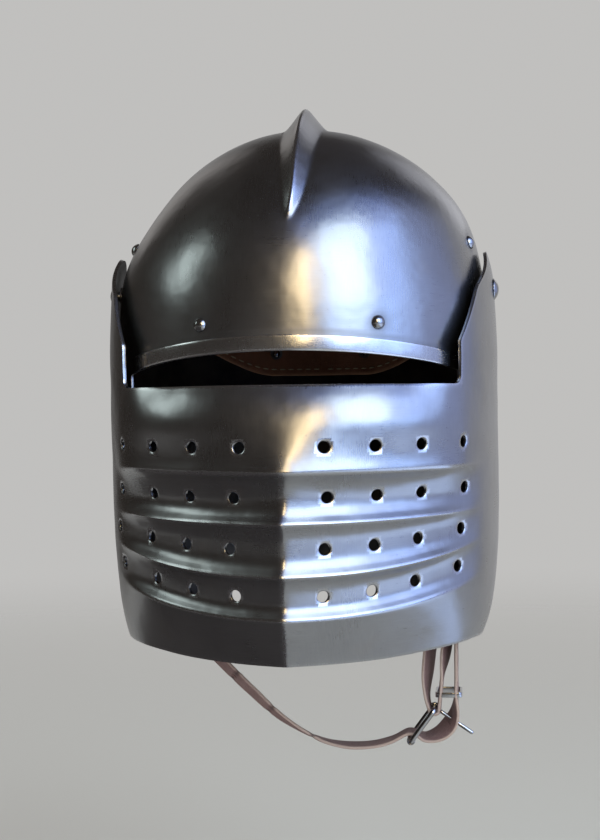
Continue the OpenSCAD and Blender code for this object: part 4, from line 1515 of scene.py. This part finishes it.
def curve_through(places):
    """A smooth curve through the places, with PATH_STEPS steps from each to the next."""
    made = []
    for i in range(len(places) - 1):
        a, b = places[max(i - 1, 0)], places[i]
        c, d = places[i + 1], places[min(i + 2, len(places) - 1)]
        for k in range(PATH_STEPS):
            t = k / PATH_STEPS
            made.append(tuple(
                0.5 * (2 * q + (r - p) * t + (2 * p - 5 * q + 4 * r - w) * t * t
                       + (3 * q - p - 3 * r + w) * t ** 3) for p, q, r, w in zip(a, b, c, d)))
    return made + [places[-1]]


# %% [markdown]
# A strap's section is a thin rectangle with rounded edges. The grid's columns go once round it, so
# both faces and both edges come from one sheet, and the ends are closed with a flat cap.

# %% Sweep a strap
SECTION = 28
CREASE_DEEP = 0.35
CREASE_REACH = 1.3
RIPPLE = 0.12
END_REACH = 2.5
END_NARROW = 0.10


def section_point(k):
    """A place round the section, as shares of half the width and half the thickness."""
    a = 2 * pi * (k + 0.5) / SECTION
    c, s = cos(a), sin(a)
    return (abs(c) ** 0.35 * (1 if c > 0 else -1), abs(s) ** 0.55 * (1 if s > 0 else -1))


def strap_frames(path, side):
    """Middle, width direction and thickness direction at each place of a path."""
    frames = []
    for i, (x, z, twist) in enumerate(path):
        a, b = path[max(i - 1, 0)], path[min(i + 1, len(path) - 1)]
        along = Vector((b[0] - a[0], 0, b[1] - a[1])).normalized()
        n = side * Vector((-along.z, 0, along.x))
        across = cos(radians(twist)) * ACROSS + sin(radians(twist)) * n
        frames.append((hung((x, z)), across, along.cross(across)))
    return frames


def lengths_along(frames):
    """How far each place of a strap lies from the strap's start, along its middle."""
    lengths = [0.0]
    for a, b in zip(frames, frames[1:]):
        lengths.append(lengths[-1] + (b[0] - a[0]).length)
    return lengths


def strap_bmesh(frames, side, creases=()):
    """A strap swept along its frames, with a crease across it at each of the given lengths."""
    lengths = lengths_along(frames)

    def place(i, j):
        middle, across, deep = frames[j]
        w, h = section_point(i)
        end = min(lengths[j], lengths[-1] - lengths[j])
        narrow = 1 - END_NARROW * closeness(end, END_REACH)
        nick = sum(CREASE_DEEP * closeness(abs(lengths[j] - c), CREASE_REACH) for c in creases)
        ripple = RIPPLE * noise.noise(Vector((lengths[j] / 9, w * 2, side * 3)))
        return (middle + w * STRAP_W / 2 * narrow * across
                + h * (STRAP_T / 2 - nick) * deep + ripple * deep)

    bm = draped_grid(SECTION, len(frames) - 1, place)
    column, row = bm.verts.layers.int["column"], bm.verts.layers.int["row"]

    def raw_edge(v):
        w, h = section_point(v[column])
        end = min(lengths[v[row]], lengths[-1] - lengths[v[row]])
        return max(smooth((abs(w) - 0.90) / 0.10), closeness(end, 1.5))

    # Painted shade along the creases at the strap's holes, which darkens the leather there.
    def crease_shade(v):
        return max([0.0] + [closeness(abs(lengths[v[row]] - c), 1.1) for c in creases])

    mark(bm, "worn", raw_edge)
    mark(bm, "shade_and_soil", crease_shade)
    weld(bm)
    bmesh.ops.holes_fill(bm, edges=[e for e in bm.edges if e.is_boundary], sides=0)
    outward(bm)
    return bm


def cut(piece, cutter_bm):
    """Takes the cutter out of the piece for good."""
    cutter = finished(cutter_bm, "cutter", [])
    boolean = piece.modifiers.new("cut", "BOOLEAN")
    boolean.operation = "DIFFERENCE"
    boolean.solver = "MANIFOLD"
    boolean.object = cutter
    graph = bpy.context.evaluated_depsgraph_get()
    mesh = bpy.data.meshes.new_from_object(piece.evaluated_get(graph))
    piece.modifiers.remove(boolean)
    piece.data = mesh
    bpy.data.objects.remove(cutter)


def rod(into, centre, way, radius, length, sides=24):
    """A round cutter, in millimetres."""
    bmesh.ops.create_cone(into, cap_ends=True, segments=sides, radius1=radius * MM, radius2=radius * MM,
                          depth=length * MM, matrix=aimed(centre * MM, way))


def block(into, centre, across, deep, along, size):
    """A cutter with flat sides that lie along three directions, in millimetres."""
    turned_to = Matrix((across, deep, along)).transposed().to_4x4()
    matrix = Matrix.Translation(centre * MM) @ turned_to @ Matrix.Diagonal((*(n * MM for n in size), 1))
    bmesh.ops.create_cube(into, size=1, matrix=matrix)


# %% [markdown]
# The long strap has four round holes for the prong, with a crease across the leather at each. The
# prong stands in a slot beside the bar, and a round hole in the strap's end takes the rivet.

# %% Build the long strap
HOLE_SPOTS = ((-39, -303.4), (-18.1, -322.6), (5.3, -338.9), (-60, -282))
HOLE_R = 1.7
HOLE_CUT = 12.0
RIVET_CUT = 9.0
PRONG_D = 2.2
SLOT_SIZE = (PRONG_D + 1.4, 12, 7.6)
prong_way = Vector((22.1, 0, -15.1)).normalized()
prong_up = Vector((15.1, 0, 22.1)).normalized()
long_frames = strap_frames(curve_through(long_path), -1)
long_lengths = lengths_along(long_frames)
holes_at = [min(range(len(long_frames)), key=lambda n: (long_frames[n][0] - hung(spot)).length)
            for spot in HOLE_SPOTS]
long_bm = strap_bmesh(long_frames, -1, [long_lengths[n] for n in holes_at])
long_strap = finished(long_bm, "chin_strap_long_leather", [strap_leather])
cutters = bmesh.new()
for n in holes_at:
    middle, _, deep = long_frames[n]
    rod(cutters, middle, deep, HOLE_R, HOLE_CUT)
block(cutters, hung(bar) + 12 * prong_way + 0.8 * prong_up, ACROSS, prong_way, prong_up, SLOT_SIZE)
rod(cutters, skull_at(*chin_right, -WALL_GAP), skull_normal(*chin_right), HOLE_R, RIVET_CUT)
cut(long_strap, cutters)
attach(long_strap, "shell")
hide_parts("chin_strap_long")
print("long strap:", round(long_lengths[-1]), "mm along its middle")

# %% [markdown]
# The short strap is riveted inside the left cheek, goes down to the buckle, and is folded back up
# round the buckle's fixed bar. A round cut in the fold leaves room for the prong's eye.

# %% Build the short strap
EYE_CUT_R = 6.0
EYE_CUT_W = 5.0
short_frames = strap_frames(curve_through(short_path), 1)
short_strap = finished(strap_bmesh(short_frames, 1), "chin_strap_short_leather", [strap_leather])
cutters = bmesh.new()
rod(cutters, hung(bar), ACROSS, EYE_CUT_R, EYE_CUT_W, 32)
rod(cutters, skull_at(*chin_place, -WALL_GAP), skull_normal(*chin_place), HOLE_R, RIVET_CUT)
cut(short_strap, cutters)
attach(short_strap, "shell")
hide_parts("chin_strap_short")
print("short strap:", round(lengths_along(short_frames)[-1]), "mm along its middle")

# %% [markdown]
# ## The buckle
# The buckle is bent from round wire: a frame, a tube that rolls on its lower bar so that the strap
# slips through, and a prong with an eye round the fixed bar. A loop of the same metal keeps the
# strap's tail in place.

# %% Buckle finish and pieces
buckle_steel = steel("buckle_steel", (0.5, 0.5, 0.52), 0.2, strokes=0.5)
FRAME_HALF = STRAP_W / 2 + 1.2 + WIRE_R
CORNER_BEND = 2.2
CORNER_STEPS = 8


def wire_ring(path, radius, up, sides=14):
    """A closed ring of round wire along points in millimetres. up is square to the ring."""
    count = len(path)

    def place(i, j):
        way = (path[(j + 1) % count] - path[(j - 1) % count]).normalized()
        side = way.cross(up).normalized()
        a = 2 * pi * i / sides
        return path[j % count] + radius * (cos(a) * side + sin(a) * side.cross(way))

    bm = draped_grid(sides, count, place)
    weld(bm)
    outward(bm)
    return bm


way3 = Vector((bar_way.x, 0, bar_way.y))
half_frame = FRAME_HALF * ACROSS
frame_path = []
for corner, first, second in ((hung(bar) + half_frame, -way3, -ACROSS),
                              (hung(bar) - half_frame, -ACROSS, way3),
                              (hung(roller) - half_frame, way3, ACROSS),
                              (hung(roller) + half_frame, ACROSS, -way3)):
    centre = corner - CORNER_BEND * first + CORNER_BEND * second
    for n in range(CORNER_STEPS + 1):
        a = pi / 2 * n / CORNER_STEPS
        frame_path.append(centre - CORNER_BEND * cos(a) * second + CORNER_BEND * sin(a) * first)
wire = finished(wire_ring(frame_path, WIRE_R, way3.cross(ACROSS)), "buckle_wire", [buckle_steel])
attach(wire, "shell")
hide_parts("buckle_frame")

roller_half = FRAME_HALF - WIRE_R - 0.3
tube_outline = [(bore, -roller_half), (ROLLER_R - 0.25, -roller_half), (ROLLER_R, -roller_half + 0.25),
                (ROLLER_R, roller_half - 0.25), (ROLLER_R - 0.25, roller_half), (bore, roller_half)]
roller_bm = placed((turned(tube_outline + tube_outline[:1], 40), hung(roller), ACROSS))
roller_piece = finished(roller_bm, "buckle_tube", [buckle_steel])
soften(roller_piece, 0.12, 1, 60)
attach(roller_piece, "roller")
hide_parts("buckle_roller")
print("buckle frame", round(2 * FRAME_HALF, 1), "mm wide, roller", round(2 * roller_half, 1), "mm")

# %% [markdown]
# The prong is one wire: a flattened eye round the bar, then a straight shank with a rounded tip
# that is a little thinner where the strap's hole sits on it.

# %% The prong and the keeper
PRONG_L = 26.8
EYE_R = bore + 1.2
EYE_HALF = 1.7
EYE_ROUND = 0.35
THIN_R = PRONG_D / 2 - 0.25
eye = turned([(bore, -EYE_HALF), (EYE_R - EYE_ROUND, -EYE_HALF), (EYE_R, EYE_ROUND - EYE_HALF),
              (EYE_R, EYE_HALF - EYE_ROUND), (EYE_R - EYE_ROUND, EYE_HALF), (bore, EYE_HALF),
              (bore, -EYE_HALF)], 36)
shank = turned([(0, EYE_R - 0.9), (PRONG_D / 2, EYE_R - 0.9), (PRONG_D / 2, 6), (THIN_R, 10),
                (THIN_R, 15), (PRONG_D / 2, 18)]
               + [(PRONG_D / 2 * cos(a), PRONG_L - PRONG_D / 2 + PRONG_D / 2 * sin(a))
                  for a in (radians(15 * k) for k in range(6))] + [(0, PRONG_L)], 28)
prong_bm = placed((eye, hung(bar), ACROSS), (shank, hung(bar), prong_way))
prong = finished(prong_bm, "buckle_tongue", [buckle_steel])
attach(prong, "prong")
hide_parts("buckle_prong")

KEEPER_WALL = 1.4
KEEPER_BEND = 2.0
keeper_low, keeper_high = (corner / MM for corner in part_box("strap_keeper"))
mid = (keeper_low + keeper_high) / 2
half = (keeper_high - keeper_low) / 2
keeper_bm = bmesh.new()
ring = []
for sx, sy, a0 in ((1, 1, 0), (-1, 1, 90), (-1, -1, 180), (1, -1, 270)):
    for n in range(7):
        a = radians(a0 + 15 * n)
        x = mid.x + (sx * (half.x - KEEPER_BEND) + KEEPER_BEND * cos(a))
        y = mid.y + (sy * (half.y - KEEPER_BEND) + KEEPER_BEND * sin(a))
        ring.append(keeper_bm.verts.new((x * MM, y * MM, keeper_low.z * MM)))
edges = [keeper_bm.edges.new(pair) for pair in zip(ring, ring[1:] + ring[:1])]
raised = bmesh.ops.extrude_edge_only(keeper_bm, edges=edges)["geom"]
bmesh.ops.translate(keeper_bm, verts=verts_in(raised), vec=(0, 0, 2 * half.z * MM))
outward(keeper_bm)
face_out(keeper_bm, mid * MM)
keeper = finished(keeper_bm, "tail_keeper", [buckle_steel])
thicken(keeper, KEEPER_WALL)
soften(keeper, 0.35, 3, 50)
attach(keeper, "keeper")
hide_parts("strap_keeper")
print("prong", PRONG_L, "mm long, keeper", round(2 * half.x, 1), "by", round(2 * half.y, 1), "mm")

# %% [markdown]
# ## Floor
# A pale, matt floor carries the shadow. It fades out with distance into the pale world, so no
# horizon line crosses the picture.

# %% Lay the floor
FLOOR_R = 3.2
floor_bm = bmesh.new()
bmesh.ops.create_circle(floor_bm, cap_ends=True, segments=96, radius=FLOOR_R,
                        matrix=Matrix.Translation((0, 0, FLOOR_Z)))
floor_finish = Finish("pale_floor", Roughness=0.9, Specular_IOR_Level=0.1, Base_Color=(0.7, 0.69, 0.67, 1))
far = floor_finish.node("ShaderNodeVectorMath", {"operation": "LENGTH"}, {0: floor_finish.place}, "Value")
floor_finish.feed(Alpha=1 - floor_finish.step(far, 0.7, 3.0))
stage_piece("floor", floor_bm, floor_finish.material)
print("floor of", FLOOR_R, "m round the helmet, at", FLOOR_Z, "m")
